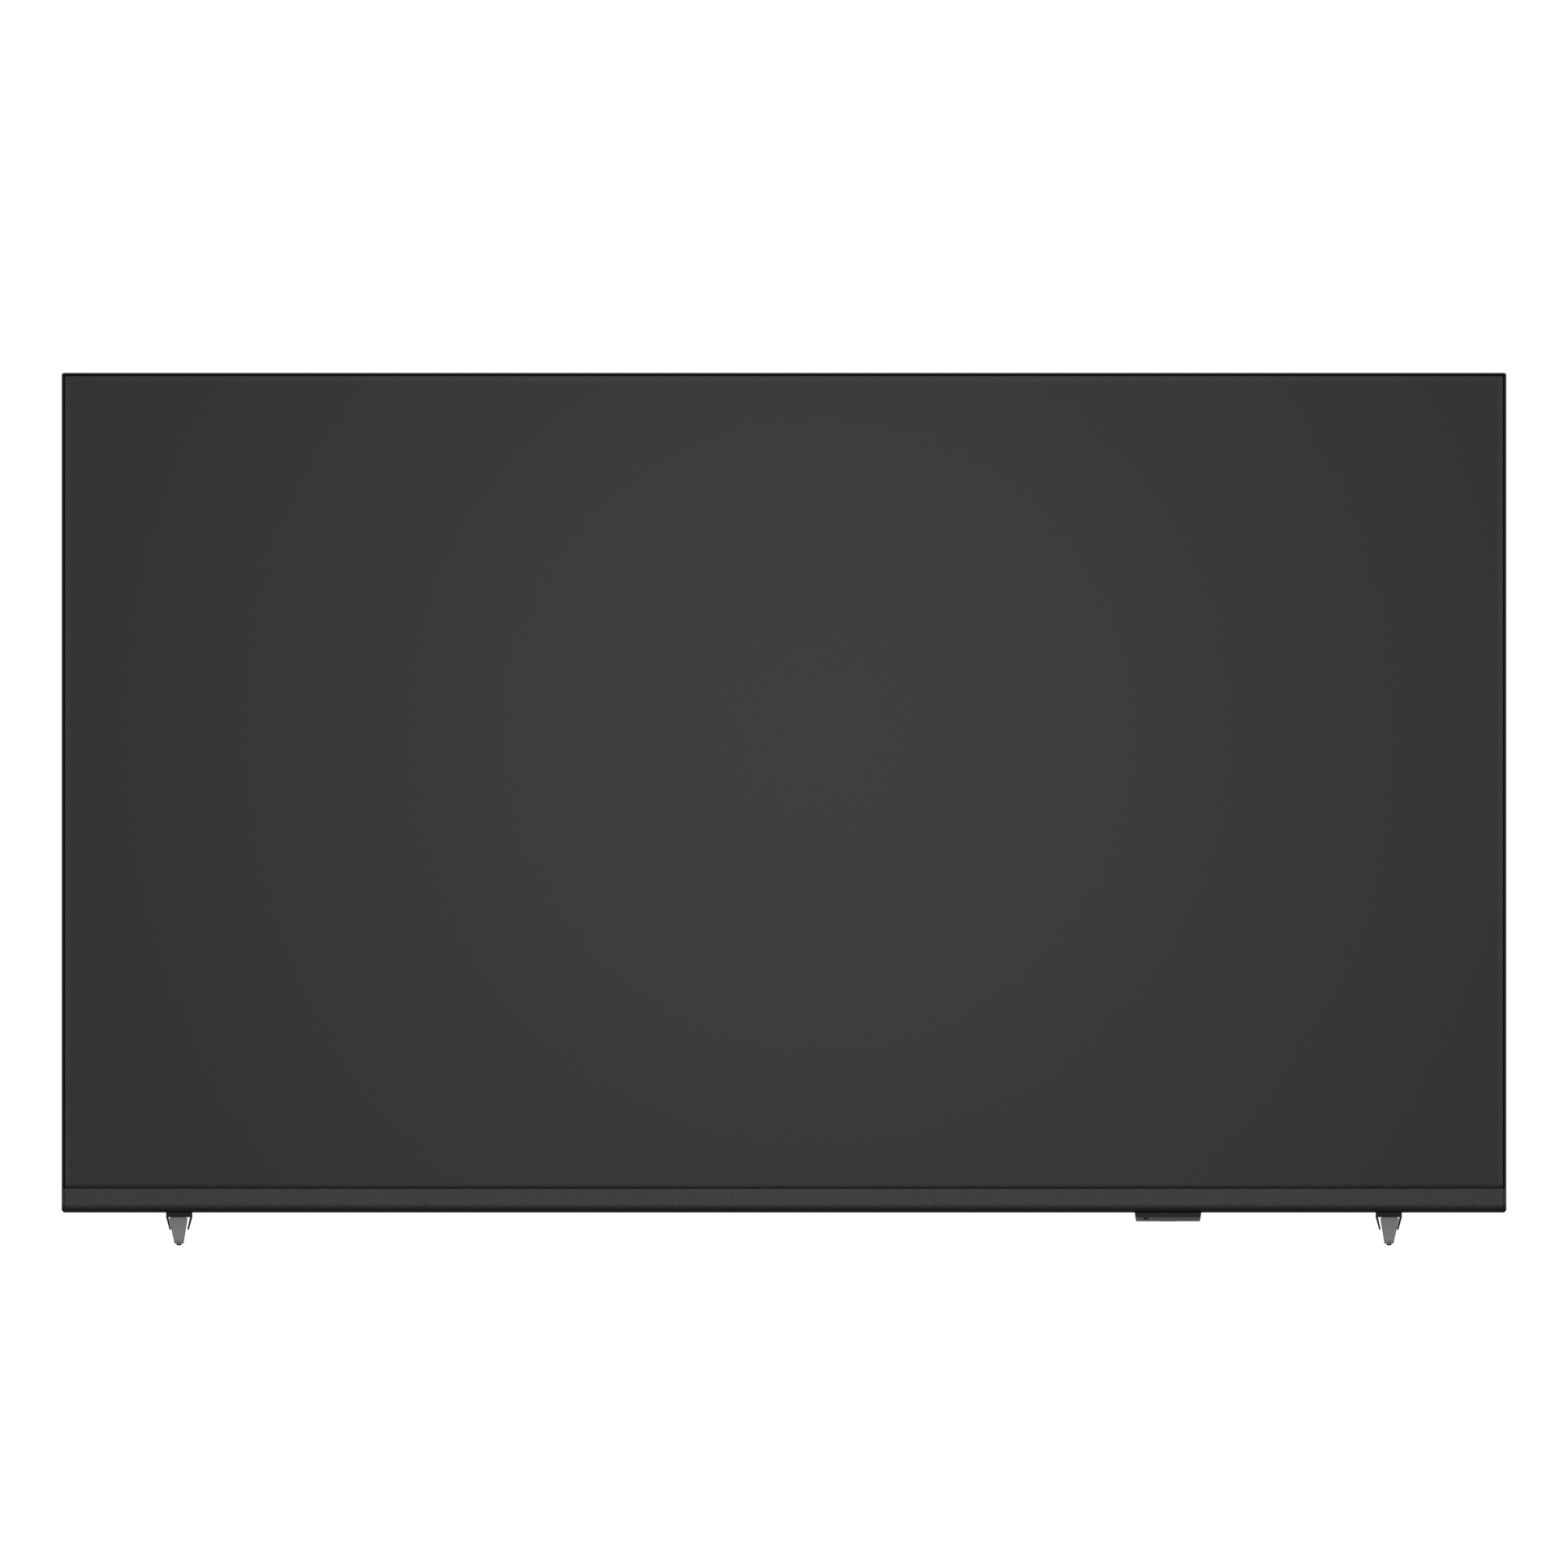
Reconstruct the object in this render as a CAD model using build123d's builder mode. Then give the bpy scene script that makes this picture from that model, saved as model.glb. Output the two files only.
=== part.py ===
from build123d import *
import os
from math import atan, cos, degrees, radians, sin, tan

os.makedirs("parts", exist_ok=True)

# Digital signage display of the 55 inch class, on two slim feet.
# X runs along the width, +Y to the back, +Z up. The origin is on the table, at the middle of the set's box.
# Heights over the bottom of the chassis go through up(), depths behind its front face through behind().

# Whole set
chassis_depth = 60.0
ground_clearance = 27.8

# Picture and the dark margins round it
picture_w = 1209.6
picture_h = 680.4
border = 5.75
seam = 1.5
lower_margin = 3.9

# Rim rails
rim_wall = 1.4
rim_recess = 1.0
rim_depth = 16.0
rim_corner = 2.2
rail_flange = 1.2
rail_flange_reach = 10.6
rail_gap = 0.05

# Bottom bezel
bezel_h = 20.3
bezel_wall = 1.6
bezel_roll = 7.0
bezel_depth = 17.0
bezel_corner = 3.0
cap_w = 2.3
cap_plate = 1.3
cap_gap = 0.3

# LCD cell, from the front
glass_recess = 2.0
polariser_t = 0.2
glass_t = 0.5
polariser_overlap = 0.8
filter_glass_tuck = 4.0
bond_ledge = 3.0
cushion_t = 0.6
cushion_w = 2.6
seal_up = 1.4
seal_down = 2.0

# Middle frame and optical stack
frame_wall = 1.0
frame_ledge = 1.2
frame_margin = 0.8
frame_depth = 10.2
film_gap = 0.3
film_t = 0.3
diffuser_t = 1.5
film_inset = 1.2

# Back pan and light box
pan_t = 0.8
pan_flange = 5.5
pan_floor_inset = 33.0
pan_lip = 5.4
light_depth = 18.2
reflector_t = 0.4
led_bar_t = 1.0
led_bar_w = 16.0
led_rows = 5
led_columns = 9
led_pitch_x = 128.0
led_pitch_z = 126.0
lens_r = 10.0
lens_h = 6.0
led_size = 3.2
led_h = 0.7
prop_foot_r = 4.0
prop_tip_r = 1.0

# Rear cover
cover_t = 2.2
cover_inset = 0.7
cover_slope = 24.0
tray_depth = 31.0
bulge_w = 1120.0
bulge_h = 490.0
bulge_slope = 14.0

# Recesses in the rear cover, as left, right, bottom and top edges seen from the front
recess_floor = 33.0
recess_low = 95.0
recess_roof = 165.0
side_recess = (333.0, 405.0)
side_recess_top = 372.0
lower_recess_left = 140.0
power_recess = (-408.0, -286.0)

# Wall mount
mount_pitch = 200.0
mount_height = 340.0
mount_core_r = 2.5
mount_thread_depth = 12.0
mount_boss_r = 7.0
channel_w = 40.0
channel_h = 8.0
channel_t = 1.2
channel_low = 150.0
channel_high = 462.0

# Boards
board_t = 1.6
standoff_h = 10.2
standoff_r = 3.0
screw_r = 1.5
screw_head_r = 2.8
screw_head_h = 1.8
thin_board_t = 1.0

# Feet
foot_x = 513.6
bracket_w = 22.4
bracket_top = 4.0
bracket_skirt = 10.5
bracket_taper = 3.0
bracket_wall = 2.1
bracket_edge = 1.5
bracket_len = 48.0
leg_outer_top = 8.9
leg_outer_tip = 4.1
leg_inner_top = 7.4
leg_inner_tip = 3.7
leg_reach = 125.0
leg_tip_h = 3.2
leg_nose = 1.6
leg_edge_r = 1.6
leg_bar_h = 9.4
pad_t = 1.4
pad_w = 4.2
pad_len = 18.0
pad_inset = 3.0
foot_screw_pitch = 24.0
foot_screw_r = 2.0
foot_plate_t = 2.0
foot_plate_w = 40.0

# Sensor module and power button
sensor_x = 326.1
sensor_top_w = 56.7
sensor_low_w = 54.3
sensor_h = 7.4
sensor_neck = 4.0
sensor_depth = 20.0
sensor_set_back = 3.0
sensor_wall = 1.2
light_slot = (307.3, -5.0, 4.3, 1.1)
button_w = 12.0
button_d = 6.0
button_gap = 0.3
button_travel = 0.8
button_proud = 0.1
button_edge_r = 0.3

# Mains inlet and switch
inlet_x = -372.0
switch_x = -318.0
power_row_d = 46.0
rocker_len = 16.0
rocker_w = 10.4
rocker_swing = 20.0

# Loudspeakers
speaker_x = 300.0
speaker_w = 180.0
speaker_h = 56.0
speaker_d = 26.0
speaker_wall = 2.0
speaker_mid_d = 42.5
cone_len = 70.0
cone_w = 14.0

# Leads
lead_d = 2.0
mains_lead_d = 3.0
flat_cable_t = 0.3

# Places worked out from the sizes above
chassis_w = picture_w + 2 * (border + seam + rim_wall)
chassis_h = bezel_h + lower_margin + picture_h + border + seam + rim_wall
front_y = -chassis_depth / 2


def up(height):
    """Z of a height over the bottom of the chassis."""
    return ground_clearance + height


def behind(distance):
    """Y of a depth behind the front face."""
    return front_y + distance


def facing(distance):
    """A plane across the set, with X and Z as its own axes. A negative amount goes to the back."""
    return Plane.XZ.offset(-behind(distance))


picture_low = bezel_h + lower_margin
half_w = chassis_w / 2
glass_half_w = half_w - rim_wall - seam
glass_top = chassis_h - rim_wall - seam
filter_glass_low = bezel_h - filter_glass_tuck
tft_glass_low = filter_glass_low - bond_ledge

filter_glass_d = glass_recess + polariser_t
tft_glass_d = filter_glass_d + glass_t
rear_polariser_d = tft_glass_d + glass_t
ledge_d = rear_polariser_d + cushion_t
prism_film_d = ledge_d + frame_ledge + film_gap
diffuser_film_d = prism_film_d + film_t
diffuser_plate_d = diffuser_film_d + film_t
reflector_d = diffuser_plate_d + diffuser_t
pan_d = reflector_d + reflector_t
pan_floor_d = pan_d + light_depth
pan_back_d = pan_floor_d + pan_t
led_bar_d = pan_floor_d - led_bar_t

frame_half_w = half_w - rim_wall
frame_top = chassis_h - rim_wall
frame_low = tft_glass_low - 2.7
pan_half_w = frame_half_w - frame_wall - 0.3
pan_top = frame_top - frame_wall - 0.3
pan_low = frame_low + frame_wall + 0.3
pan_mid_h = (pan_top + pan_low) / 2
pan_mid_z = up(pan_mid_h)
pan_h = pan_top - pan_low

board_d = pan_back_d + standoff_h


def inset_box(left, right, low, top, inset=0.0, mode=Mode.ADD):
    """A rectangle in a facing sketch, by its edges."""
    with Locations(((left + right) / 2, up((low + top) / 2))):
        Rectangle(right - left - 2 * inset, top - low - 2 * inset, mode=mode)


def pan_outline(inset, mode=Mode.ADD):
    """The pan's outer rectangle, drawn in on every side."""
    with Locations((0, pan_mid_z)):
        Rectangle(2 * (pan_half_w - inset), pan_h - 2 * inset, mode=mode)


def bend_radii(points):
    """For each corner of a route, the largest arc that both of its runs leave room for."""
    corners = [Vector(*p) for p in points]
    radii = []
    for before, here, after in zip(corners, corners[1:], corners[2:]):
        shorter = min((here - before).length, (after - here).length)
        half_turn = radians((here - before).get_angle(after - here)) / 2
        radii.append(0.45 * shorter / tan(half_turn))
    return radii


def lead(points, diameter):
    """A round wire along straight runs that are joined by arcs."""
    with BuildPart() as wire:
        with BuildLine() as route:
            if len(points) == 2:
                Line(*points)
            else:
                FilletPolyline(*points, radius=bend_radii(points))
        with BuildSketch(Plane(route.line @ 0, z_dir=route.line % 0)):
            Circle(diameter / 2)
        sweep()
    return wire.part


def strip(points, start_x, width, thickness, radius):
    """A flat cable or flex: a bent line of depths and heights, carried along X."""
    with BuildPart() as flat:
        with BuildSketch(Plane.YZ.offset(start_x)):
            with BuildLine():
                FilletPolyline(*[(behind(d), up(h)) for d, h in points], radius=radius)
            trace(line_width=thickness)
        extrude(amount=width)
    return flat.part


# Rim rails: three painted aluminium extrusions with a wall and a rear flange, mitred at the top corners.
rail_low = bezel_h + rail_gap
flange_d = rim_recess + rim_depth - rail_flange


def rail_layer(reach, corners):
    """One layer of a rail: the outline of the set, cut to the band between the given corners."""
    with Locations((0, up(chassis_h / 2))):
        RectangleRounded(chassis_w, chassis_h, rim_corner)
    Polygon(*[(x, up(z)) for x, z in corners(reach)], align=None, mode=Mode.INTERSECT)


def top_corners(reach):
    return (
        (-half_w, chassis_h),
        (half_w, chassis_h),
        (half_w - reach, chassis_h - reach),
        (-half_w + reach, chassis_h - reach),
    )


def side_corners(reach, side):
    return (
        (side * half_w, chassis_h),
        (side * half_w, rail_low),
        (side * (half_w - reach), rail_low),
        (side * (half_w - reach), chassis_h - reach),
    )


rail_reach = rim_wall + rail_flange_reach

with BuildPart() as top_rail:
    with BuildSketch(facing(rim_recess)):
        rail_layer(rim_wall, top_corners)
    extrude(amount=-rim_depth)
    with BuildSketch(facing(flange_d)):
        rail_layer(rail_reach, top_corners)
    extrude(amount=-rail_flange)
top_rail.part.label = "top_rail"
export_step(top_rail.part, "parts/top_rail.step")

with BuildPart() as left_rail:
    with BuildSketch(facing(rim_recess)):
        rail_layer(rim_wall, lambda reach: side_corners(reach, -1))
    extrude(amount=-rim_depth)
    with BuildSketch(facing(flange_d)):
        rail_layer(rail_reach, lambda reach: side_corners(reach, -1))
    extrude(amount=-rail_flange)
left_rail.part.label = "left_rail"
export_step(left_rail.part, "parts/left_rail.step")

with BuildPart() as right_rail:
    with BuildSketch(facing(rim_recess)):
        rail_layer(rim_wall, lambda reach: side_corners(reach, 1))
    extrude(amount=-rim_depth)
    with BuildSketch(facing(flange_d)):
        rail_layer(rail_reach, lambda reach: side_corners(reach, 1))
    extrude(amount=-rail_flange)
right_rail.part.label = "right_rail"
export_step(right_rail.part, "parts/right_rail.step")


# Bottom bezel: a moulded J section. Its front wall rolls under at the foot and runs back to the rear cover.
roll_centre = (behind(bezel_roll), up(bezel_roll))

with BuildSketch(Plane.YZ) as bezel_section:
    with BuildLine():
        Polyline(
            (behind(0), up(bezel_roll)),
            (behind(0), up(bezel_h)),
            (behind(bezel_wall), up(bezel_h)),
            (behind(bezel_wall), up(bezel_roll)),
        )
        CenterArc(roll_centre, bezel_roll - bezel_wall, 180, 90)
        Polyline(
            (behind(bezel_roll), up(bezel_wall)),
            (behind(bezel_depth), up(bezel_wall)),
            (behind(bezel_depth), up(0)),
            (behind(bezel_roll), up(0)),
        )
        CenterArc(roll_centre, bezel_roll, 180, 90)
    make_face()

bezel_half = half_w - cap_w - cap_gap
sensor_lead_d = 13.0
sensor_hole_w, sensor_hole_d = 9.0, 6.0

with BuildPart() as bottom_bezel:
    extrude(bezel_section.sketch, amount=bezel_half, both=True)
    front_top = bottom_bezel.edges().filter_by(Axis.X).group_by(Axis.Z)[-1].sort_by(Axis.Y)[0]
    fillet(front_top, 0.6)
    with BuildSketch(Plane.XY.offset(up(0))):
        with Locations((sensor_x, behind(sensor_lead_d))):
            Rectangle(sensor_hole_w, sensor_hole_d)
        with Locations((-foot_x, 0), (foot_x, 0)):
            with GridLocations(0, foot_screw_pitch, 1, 2):
                Circle(foot_screw_r + 0.2)
    extrude(amount=bezel_wall, mode=Mode.SUBTRACT)
bottom_bezel.part.label = "bottom_bezel"
export_step(bottom_bezel.part, "parts/bottom_bezel.step")

# End caps: each closes one end of the bezel with a plate, and carries its section round to the set's edge.
cap_skin = 0.2

with BuildSketch(Plane.YZ) as cap_outline:
    with BuildLine():
        Polyline(
            (behind(cap_skin), up(bezel_roll)),
            (behind(cap_skin), up(bezel_h)),
            (behind(bezel_depth), up(bezel_h)),
            (behind(bezel_depth), up(cap_skin)),
            (behind(bezel_roll), up(cap_skin)),
        )
        CenterArc(roll_centre, bezel_roll - cap_skin, 180, 90)
    make_face()

with BuildPart() as bezel_end_caps:
    for side in (-1, 1):
        at_end = Location((side * half_w, 0, 0))
        extrude(bezel_section.sketch.moved(at_end), amount=-side * cap_w)
        extrude(cap_outline.sketch.moved(at_end), amount=-side * cap_plate)
    with BuildSketch(facing(0)):
        with Locations((0, up(chassis_h / 2))):
            RectangleRounded(chassis_w, chassis_h, bezel_corner)
    extrude(amount=-bezel_depth, mode=Mode.INTERSECT)
bezel_end_caps.part.label = "bezel_end_caps"
export_step(bezel_end_caps.part, "parts/bezel_end_caps.step")


# LCD cell: two sheets of glass with a polariser on each outer face.
def polariser_outline():
    margin = polariser_overlap
    inset_box(
        -picture_w / 2 - margin,
        picture_w / 2 + margin,
        picture_low - margin,
        picture_low + picture_h + margin,
    )


with BuildPart() as front_polariser:
    with BuildSketch(facing(glass_recess)):
        polariser_outline()
    extrude(amount=-polariser_t)
front_polariser.part.label = "front_polariser"
export_step(front_polariser.part, "parts/front_polariser.step")

with BuildPart() as colour_filter_glass:
    with BuildSketch(facing(filter_glass_d)):
        inset_box(-glass_half_w, glass_half_w, filter_glass_low, glass_top)
    extrude(amount=-glass_t)
colour_filter_glass.part.label = "colour_filter_glass"
export_step(colour_filter_glass.part, "parts/colour_filter_glass.step")

with BuildPart() as tft_glass:
    with BuildSketch(facing(tft_glass_d)):
        inset_box(-glass_half_w, glass_half_w, tft_glass_low, glass_top)
    extrude(amount=-glass_t)
tft_glass.part.label = "tft_glass"
export_step(tft_glass.part, "parts/tft_glass.step")

with BuildPart() as rear_polariser:
    with BuildSketch(facing(rear_polariser_d)):
        polariser_outline()
    extrude(amount=-polariser_t)
rear_polariser.part.label = "rear_polariser"
export_step(rear_polariser.part, "parts/rear_polariser.step")

# Cushions: four foam strips between the cell's edge and the ledge of the middle frame, and a fifth that seals
# the gap between the glass and the back of the bezel and shows over the bezel as a dark line.
with BuildPart() as cell_cushions:
    strip_out = glass_half_w - 0.5
    strip_top = glass_top - 0.5
    strip_low = tft_glass_low + 3.0
    with BuildSketch(facing(rear_polariser_d)):
        for side in (-1, 1):
            with Locations((side * (strip_out - cushion_w / 2), up((strip_top + strip_low) / 2))):
                Rectangle(cushion_w, strip_top - strip_low - 2 * cushion_w - 2)
        for level in (strip_top - cushion_w / 2, strip_low + cushion_w / 2):
            with Locations((0, up(level))):
                Rectangle(2 * strip_out, cushion_w)
    extrude(amount=-cushion_t)
    with BuildSketch(facing(bezel_wall)):
        inset_box(-strip_out, strip_out, bezel_h - seal_down, bezel_h + seal_up)
    extrude(amount=bezel_wall - filter_glass_d)
cell_cushions.part.label = "cell_cushions"
export_step(cell_cushions.part, "parts/cell_cushions.step")

# Middle frame: a moulded frame that parts the cell from the light box. Its bottom wall leaves the front open,
# where the flexes come down from the glass.
frame_edges = (-frame_half_w, frame_half_w, frame_low, frame_top)
guard_d = glass_recess + 0.6

with BuildPart() as middle_frame:
    with BuildSketch(facing(ledge_d)):
        inset_box(*frame_edges)
        inset_box(
            -picture_w / 2 - frame_margin,
            picture_w / 2 + frame_margin,
            picture_low - frame_margin,
            picture_low + picture_h + frame_margin,
            mode=Mode.SUBTRACT,
        )
    extrude(amount=-frame_ledge)
    with BuildSketch(facing(ledge_d)):
        inset_box(*frame_edges)
        inset_box(*frame_edges, inset=frame_wall, mode=Mode.SUBTRACT)
    extrude(amount=-frame_depth)
    with BuildSketch(facing(guard_d)):
        inset_box(*frame_edges)
        inset_box(*frame_edges, inset=frame_wall, mode=Mode.SUBTRACT)
        inset_box(-half_w, half_w, 0, bezel_h, mode=Mode.SUBTRACT)
    extrude(amount=guard_d - ledge_d)
middle_frame.part.label = "middle_frame"
export_step(middle_frame.part, "parts/middle_frame.step")


# Optical stack: prism film, diffuser film and diffuser plate, loose between middle frame and reflector.
def sheet_outline():
    inset_box(*frame_edges, inset=frame_wall + film_inset)


with BuildPart() as prism_film:
    with BuildSketch(facing(prism_film_d)):
        sheet_outline()
    extrude(amount=-film_t)
prism_film.part.label = "prism_film"
export_step(prism_film.part, "parts/prism_film.step")

with BuildPart() as diffuser_film:
    with BuildSketch(facing(diffuser_film_d)):
        sheet_outline()
    extrude(amount=-film_t)
diffuser_film.part.label = "diffuser_film"
export_step(diffuser_film.part, "parts/diffuser_film.step")

with BuildPart() as diffuser_plate:
    with BuildSketch(facing(diffuser_plate_d)):
        sheet_outline()
    extrude(amount=-diffuser_t)
diffuser_plate.part.label = "diffuser_plate"
export_step(diffuser_plate.part, "parts/diffuser_plate.step")

# Light box: the slanted walls of the pan and of the reflector run in at one slope.
slant = (pan_floor_inset - pan_flange) / light_depth
slant_stretch = (1 + slant**2) ** 0.5
led_spots = [
    ((column - (led_columns - 1) / 2) * led_pitch_x, pan_mid_z + (row - (led_rows - 1) / 2) * led_pitch_z)
    for row in range(led_rows)
    for column in range(led_columns)
]
led_lead_spot = (-456.0, pan_mid_z)
cover_post_spots = [(x, h) for x in (-470.0, 470.0) for h in (110.0, 420.0)]
edge_screw_spots = [(x, chassis_h - 50.0) for x in (-500.0, -170.0, 170.0, 500.0)]
edge_screw_spots += [(x, h) for x in (-568.0, 568.0) for h in (100.0, 330.0, 560.0)]

# Back pan: one deep drawn sheet of zinc coated steel with a flat flange and a turned lip.
with BuildPart() as back_pan:
    with BuildSketch(facing(pan_d)):
        pan_outline(pan_flange - pan_t * slant_stretch)
    with BuildSketch(facing(pan_back_d)):
        pan_outline(pan_flange - pan_t * slant_stretch + slant * (light_depth + pan_t))
    loft()
    with BuildSketch(facing(pan_d)):
        pan_outline(0)
    extrude(amount=-pan_t)
    with BuildSketch(facing(pan_d)):
        pan_outline(0)
        pan_outline(pan_t, mode=Mode.SUBTRACT)
    extrude(amount=-pan_t - pan_lip)
    with BuildSketch(facing(pan_d)):
        pan_outline(pan_flange)
    with BuildSketch(facing(pan_floor_d)):
        pan_outline(pan_floor_inset)
    loft(mode=Mode.SUBTRACT)
    with BuildSketch(facing(pan_floor_d)):
        with Locations(led_lead_spot):
            Circle(3.0)
        with Locations(*[(x, up(h)) for x, h in edge_screw_spots]):
            Circle(screw_r)
    extrude(amount=-pan_t, mode=Mode.SUBTRACT)
back_pan.part.label = "back_pan"
export_step(back_pan.part, "parts/back_pan.step")

# Reflector: a white foamed sheet, folded up at its edges, lying on the LED bars and on the pan's flange.
reflector_gap = 0.1
reflector_start = pan_flange + reflector_gap
reflector_floor_d = led_bar_d - reflector_t

with BuildPart() as reflector_sheet:
    with BuildSketch(facing(pan_d)):
        pan_outline(reflector_start)
    with BuildSketch(facing(led_bar_d)):
        pan_outline(reflector_start + slant * (led_bar_d - pan_d))
    loft()
    with BuildSketch(facing(reflector_d)):
        pan_outline(film_inset)
    extrude(amount=-reflector_t)
    inner_start = reflector_start + reflector_t * slant_stretch
    with BuildSketch(facing(reflector_d)):
        pan_outline(inner_start - slant * reflector_t)
    with BuildSketch(facing(reflector_floor_d)):
        pan_outline(inner_start + slant * (reflector_floor_d - pan_d))
    loft(mode=Mode.SUBTRACT)
    with BuildSketch(facing(reflector_floor_d)):
        with Locations(*led_spots):
            Circle(lens_r + 0.5)
    extrude(amount=-reflector_t, mode=Mode.SUBTRACT)
reflector_sheet.part.label = "reflector_sheet"
export_step(reflector_sheet.part, "parts/reflector_sheet.step")

# LED bars: aluminium cored circuit boards, one to a row, on the pan's floor, with an LED under every lens.
with BuildPart() as led_bars:
    with BuildSketch(facing(led_bar_d)):
        with Locations((0, pan_mid_z)):
            with GridLocations(0, led_pitch_z, 1, led_rows):
                Rectangle((led_columns - 1) * led_pitch_x + 40, led_bar_w)
    extrude(amount=-led_bar_t)
    with BuildSketch(facing(led_bar_d)):
        with Locations(*led_spots):
            Rectangle(led_size, led_size)
    extrude(amount=led_h)
led_bars.part.label = "led_bars"
export_step(led_bars.part, "parts/led_bars.step")

# Lenses: clear domes that spread the light, each hollow over its LED.
lens_dimple_r = 2.6
lens_dimple_h = 2.2
lens_dimple_side = 1.0

with BuildPart() as lens:
    with BuildSketch(Plane.XZ):
        with BuildLine():
            Polyline((lens_dimple_r, 0), (lens_r, 0), (lens_r, 1.2))
            RadiusArc((lens_r, 1.2), (3.0, lens_h), 9.5)
            Polyline(
                (3.0, lens_h),
                (0, lens_h - 0.8),
                (0, lens_dimple_h),
                (lens_dimple_r, lens_dimple_side),
                (lens_dimple_r, 0),
            )
        make_face()
    revolve(axis=Axis.Z)

with BuildPart() as led_lenses:
    for x, z in led_spots:
        add(lens.part.moved(Location((x, behind(led_bar_d), z), (90, 0, 0))))
led_lenses.part.label = "led_lenses"
export_step(led_lenses.part, "parts/led_lenses.step")

# Props: white cones on the reflector, between the lenses, that keep the diffuser plate from sagging inwards.
prop_h = reflector_floor_d - reflector_d - film_gap

with BuildPart() as diffuser_props:
    with BuildSketch(facing(reflector_floor_d)):
        for column in (-3.5, -1.5, 1.5, 3.5):
            for row in (-1.5, -0.5, 0.5, 1.5):
                with Locations((column * led_pitch_x, pan_mid_z + row * led_pitch_z)):
                    Circle(prop_foot_r)
    extrude(amount=prop_h, taper=degrees(atan((prop_foot_r - prop_tip_r) / prop_h)))
diffuser_props.part.label = "diffuser_props"
export_step(diffuser_props.part, "parts/diffuser_props.step")

# Stiffening channels: two pressed steel hats up the back of the pan, which carry the wall mount bosses.
channel_lip = 8.0
channel_back_d = pan_back_d + channel_h
mount_xs = (-mount_pitch / 2, mount_pitch / 2)
mount_heights = (mount_height - mount_pitch / 2, mount_height + mount_pitch / 2)
mount_spots = [(x, h) for x in mount_xs for h in mount_heights]
boss_stem_r = 4.9

with BuildPart() as stiffening_channels:
    for x in (-mount_pitch / 2, mount_pitch / 2):
        with BuildSketch(Plane.XY.offset(up(channel_low))):
            with Locations((x, behind(pan_back_d + channel_h / 2))):
                Rectangle(channel_w, channel_h)
            with Locations((x, behind(pan_back_d + (channel_h - channel_t) / 2))):
                Rectangle(channel_w - 2 * channel_t, channel_h - channel_t, mode=Mode.SUBTRACT)
            for side in (-1, 1):
                lip_x = x + side * (channel_w + channel_lip) / 2
                with Locations((lip_x, behind(pan_back_d + channel_t / 2))):
                    Rectangle(channel_lip, channel_t)
        extrude(amount=channel_high - channel_low)
    with BuildSketch(facing(channel_back_d)):
        with Locations(*[(x, up(h)) for x, h in mount_spots]):
            Circle(boss_stem_r + 0.1)
    extrude(amount=channel_t, mode=Mode.SUBTRACT)
stiffening_channels.part.label = "stiffening_channels"
export_step(stiffening_channels.part, "parts/stiffening_channels.step")

# Wall mount bosses: turned steel posts with M6 threads, drawn at the core, flush with the rear cover.
with BuildPart() as wall_mount_bosses:
    with Locations(*[(x, behind(pan_back_d), up(h)) for x, h in mount_spots]):
        Cylinder(
            boss_stem_r,
            channel_h,
            rotation=(-90, 0, 0),
            align=(Align.CENTER, Align.CENTER, Align.MIN),
        )
    with Locations(*[(x, behind(channel_back_d), up(h)) for x, h in mount_spots]):
        Cylinder(
            mount_boss_r,
            chassis_depth - channel_back_d,
            rotation=(-90, 0, 0),
            align=(Align.CENTER, Align.CENTER, Align.MIN),
        )
    rim = wall_mount_bosses.faces().filter_by(Axis.Y).group_by(Axis.Y)[-1].edges()
    chamfer(rim, 0.5)
    with BuildSketch(facing(chassis_depth)):
        with Locations(*[(x, up(h)) for x, h in mount_spots]):
            Circle(mount_core_r)
    extrude(amount=mount_thread_depth, mode=Mode.SUBTRACT)
wall_mount_bosses.part.label = "wall_mount_bosses"
export_step(wall_mount_bosses.part, "parts/wall_mount_bosses.step")

# Foot plates: steel angles inside the bottom of the chassis, screwed to the pan, that take the foot screws.
foot_plate_d = 12.0
foot_plate_back = 52.0
foot_plate_top = 75.0
foot_spots = [(x, y) for x in (-foot_x, foot_x) for y in (-foot_screw_pitch / 2, foot_screw_pitch / 2)]

with BuildPart() as foot_plates:
    for x in (-foot_x, foot_x):
        with BuildSketch(Plane.XY.offset(up(cover_t))):
            with Locations((x, behind((foot_plate_d + foot_plate_back) / 2))):
                Rectangle(foot_plate_w, foot_plate_back - foot_plate_d)
        extrude(amount=foot_plate_t)
        with BuildSketch(facing(pan_back_d)):
            inset_box(x - foot_plate_w / 2, x + foot_plate_w / 2, cover_t, foot_plate_top)
        extrude(amount=-foot_plate_t)
    with BuildSketch(Plane.XY.offset(up(cover_t))):
        with Locations(*foot_spots):
            Circle(foot_screw_r)
    extrude(amount=foot_plate_t, mode=Mode.SUBTRACT)
foot_plates.part.label = "foot_plates"
export_step(foot_plates.part, "parts/foot_plates.step")

# Circuit boards, as left, right, bottom and top edges, with a screw near every corner.
power_edges = (-430.0, -150.0, 200.0, 420.0)
main_edges = (150.0, 328.0, 170.0, 390.0)
timing_edges = (-66.0, 66.0, 150.0, 206.0)
corner_inset = 8.0
timing_standoff_h = 4.0
timing_d = pan_back_d + timing_standoff_h


def corner_spots(edges):
    left, right, low, top = edges
    sides = (left + corner_inset, right - corner_inset)
    ends = (low + corner_inset, top - corner_inset)
    return [(x, h) for x in sides for h in ends]


tall_spots = corner_spots(power_edges) + corner_spots(main_edges)
low_spots = corner_spots(timing_edges)


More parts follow.
